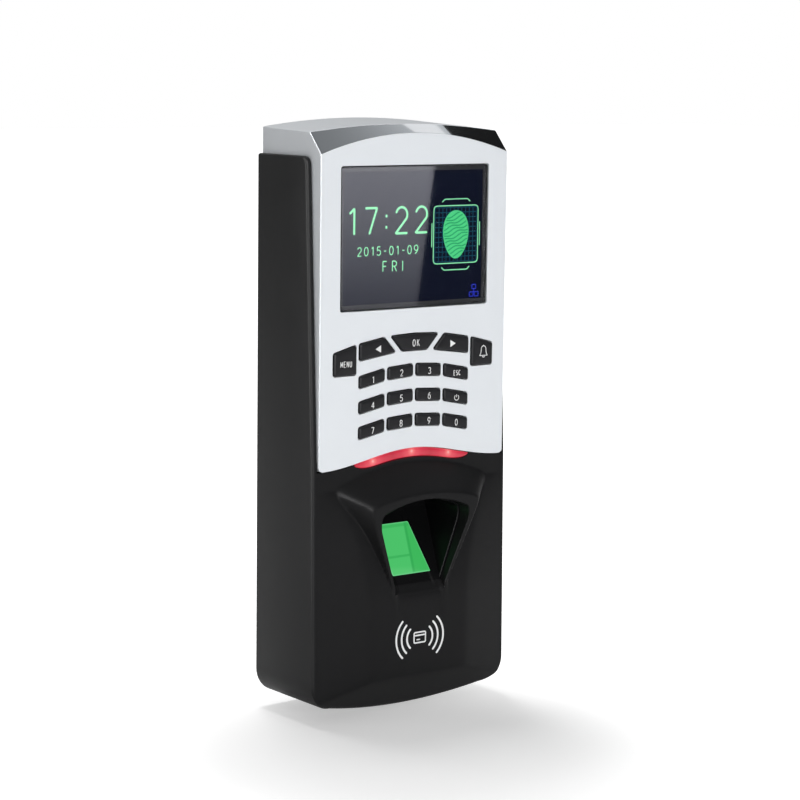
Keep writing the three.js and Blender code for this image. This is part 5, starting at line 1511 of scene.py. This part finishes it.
lamp("front lamp", (-0.2, -1.3, 0.06), (0, 0, 0), 0.6, 14.0)
lamp("back lamp", (0.05, 0.68, 2.4), (0, 0, 0), 0.7, 24)


def lit(name, colour, strength, fade=None):
    """A card's surface that only glows. `fade` is an axis, the two places on it between which the
    glow grows to its strength, what it starts from, and how it grows."""
    material = bpy.data.materials.new(name)
    material.use_nodes = True
    tree = material.node_tree
    tree.nodes.remove(tree.nodes["Principled BSDF"])
    glow = tree.nodes.new("ShaderNodeEmission")
    glow.inputs["Color"].default_value = colour
    glow.inputs["Strength"].default_value = strength
    tree.links.new(glow.outputs["Emission"], tree.nodes["Material Output"].inputs["Surface"])
    if fade is not None:
        axis, start, end, weakest, growth = fade
        split = tree.nodes.new("ShaderNodeSeparateXYZ")
        tree.links.new(tree.nodes.new("ShaderNodeTexCoord").outputs["Object"], split.inputs["Vector"])
        growing = ranged(tree, split.outputs[axis], start, end, weakest, strength, growth)
        tree.links.new(growing, glow.inputs["Strength"])
    return material


def mirrored_point(pixel_x, pixel_y, distance):
    """Where the camera sees, mirrored in the window, the plane that faces it at a distance: the ray
    through a pixel of the 800-pixel picture is turned back at the window's front face."""
    focal = lens_data.lens / lens_data.sensor_width * 800
    ray = camera_ahead + camera_right * ((pixel_x - 400) / focal) - camera_up * ((pixel_y - 400) / focal)
    hit = camera_place + ray * ((front / 1000 - camera_place.y) / ray.y)
    turned = Vector((ray.x, -ray.y, ray.z))
    faces = Vector((camera_ahead.x, -camera_ahead.y, camera_ahead.z))
    return hit + turned * (distance / turned.dot(faces))


# The sheen card lights the left part of the window, and the front flag darkens the rest of it. The
# left flag and the back and ceiling cards give the sides and the plated bevel their greys, the right
# flag ends the bevel in black, and the strips draw a bright line along the left edges. The sheen
# ends in a slanting line, from one pixel of the photograph down to another.
sheen_top, sheen_foot = Vector((435.5, 165)), Vector((418.5, 302))
sheen_run = (sheen_foot - sheen_top) / (sheen_foot.y - sheen_top.y)
upper, lower = sheen_top - 60 * sheen_run, sheen_foot + 60 * sheen_run
sheen_corners = [mirrored_point(*pixel, 1.0) for pixel in (upper, lower, (300, lower.y), (300, upper.y))]
sheen_fade = ("Z", sheen_corners[2].z, sheen_corners[3].z, 0.35, "SMOOTHSTEP")
card("window_sheen", sheen_corners, lit("sheen card", (0.92, 0.92, 1.0, 1), 2.8, sheen_fade))
dark = lit("dark card", plain_white, 0.015)
flag_pixels = ((-500, -1200), (2600, -1200), (2600, 2400), (-500, 2400))
card("front_flag", [mirrored_point(*pixel, 1.05) for pixel in flag_pixels], dark)
card("left_flag", upright((-1.15, -0.1), (-0.05, 1.25), -0.104, 0.95), lit("dim card", plain_white, 0.3))
card("back_card", upright((-0.3, 2.0), (2.3, 1.0), -0.1, 0.8),
     lit("half-grey card", (0.94, 0.97, 1.0, 1), 0.3))
card("ceiling_card", [(-0.7, -1.5, 1.3), (1.7, -1.5, 1.3), (1.7, 1.0, 1.3), (0.2, 1.0, 1.3)],
     lit("grey card", (0.95, 0.98, 1.0, 1), 0.68, ("X", 0.2, 1.5, 0.17, "LINEAR")))
card("right_flag", [(1.55, -1.2, 0.5), (1.6, 1.0, 0.6), (1.32, 0.9, 1.6), (1.45, -1.2, 1.6)], dark)
bright = lit("strip card", plain_white, 12)
card("edge_strip", upright((-1.2, -0.55), (-0.8, -1.0), -0.1, 0.5), bright)
card("side_strip", upright((-0.342, 0.012), (-0.306, 0.116), -0.104, 0.7), bright)
card("hood_strip", [(-1.15, -0.6, 0.65), (-0.8, -1.0, 0.65), (-0.6, -0.95, 1.2), (-1.0, -0.55, 1.2)],
     lit("hood strip card", plain_white, 20))

bpy.context.scene.view_settings.view_transform = "Standard"
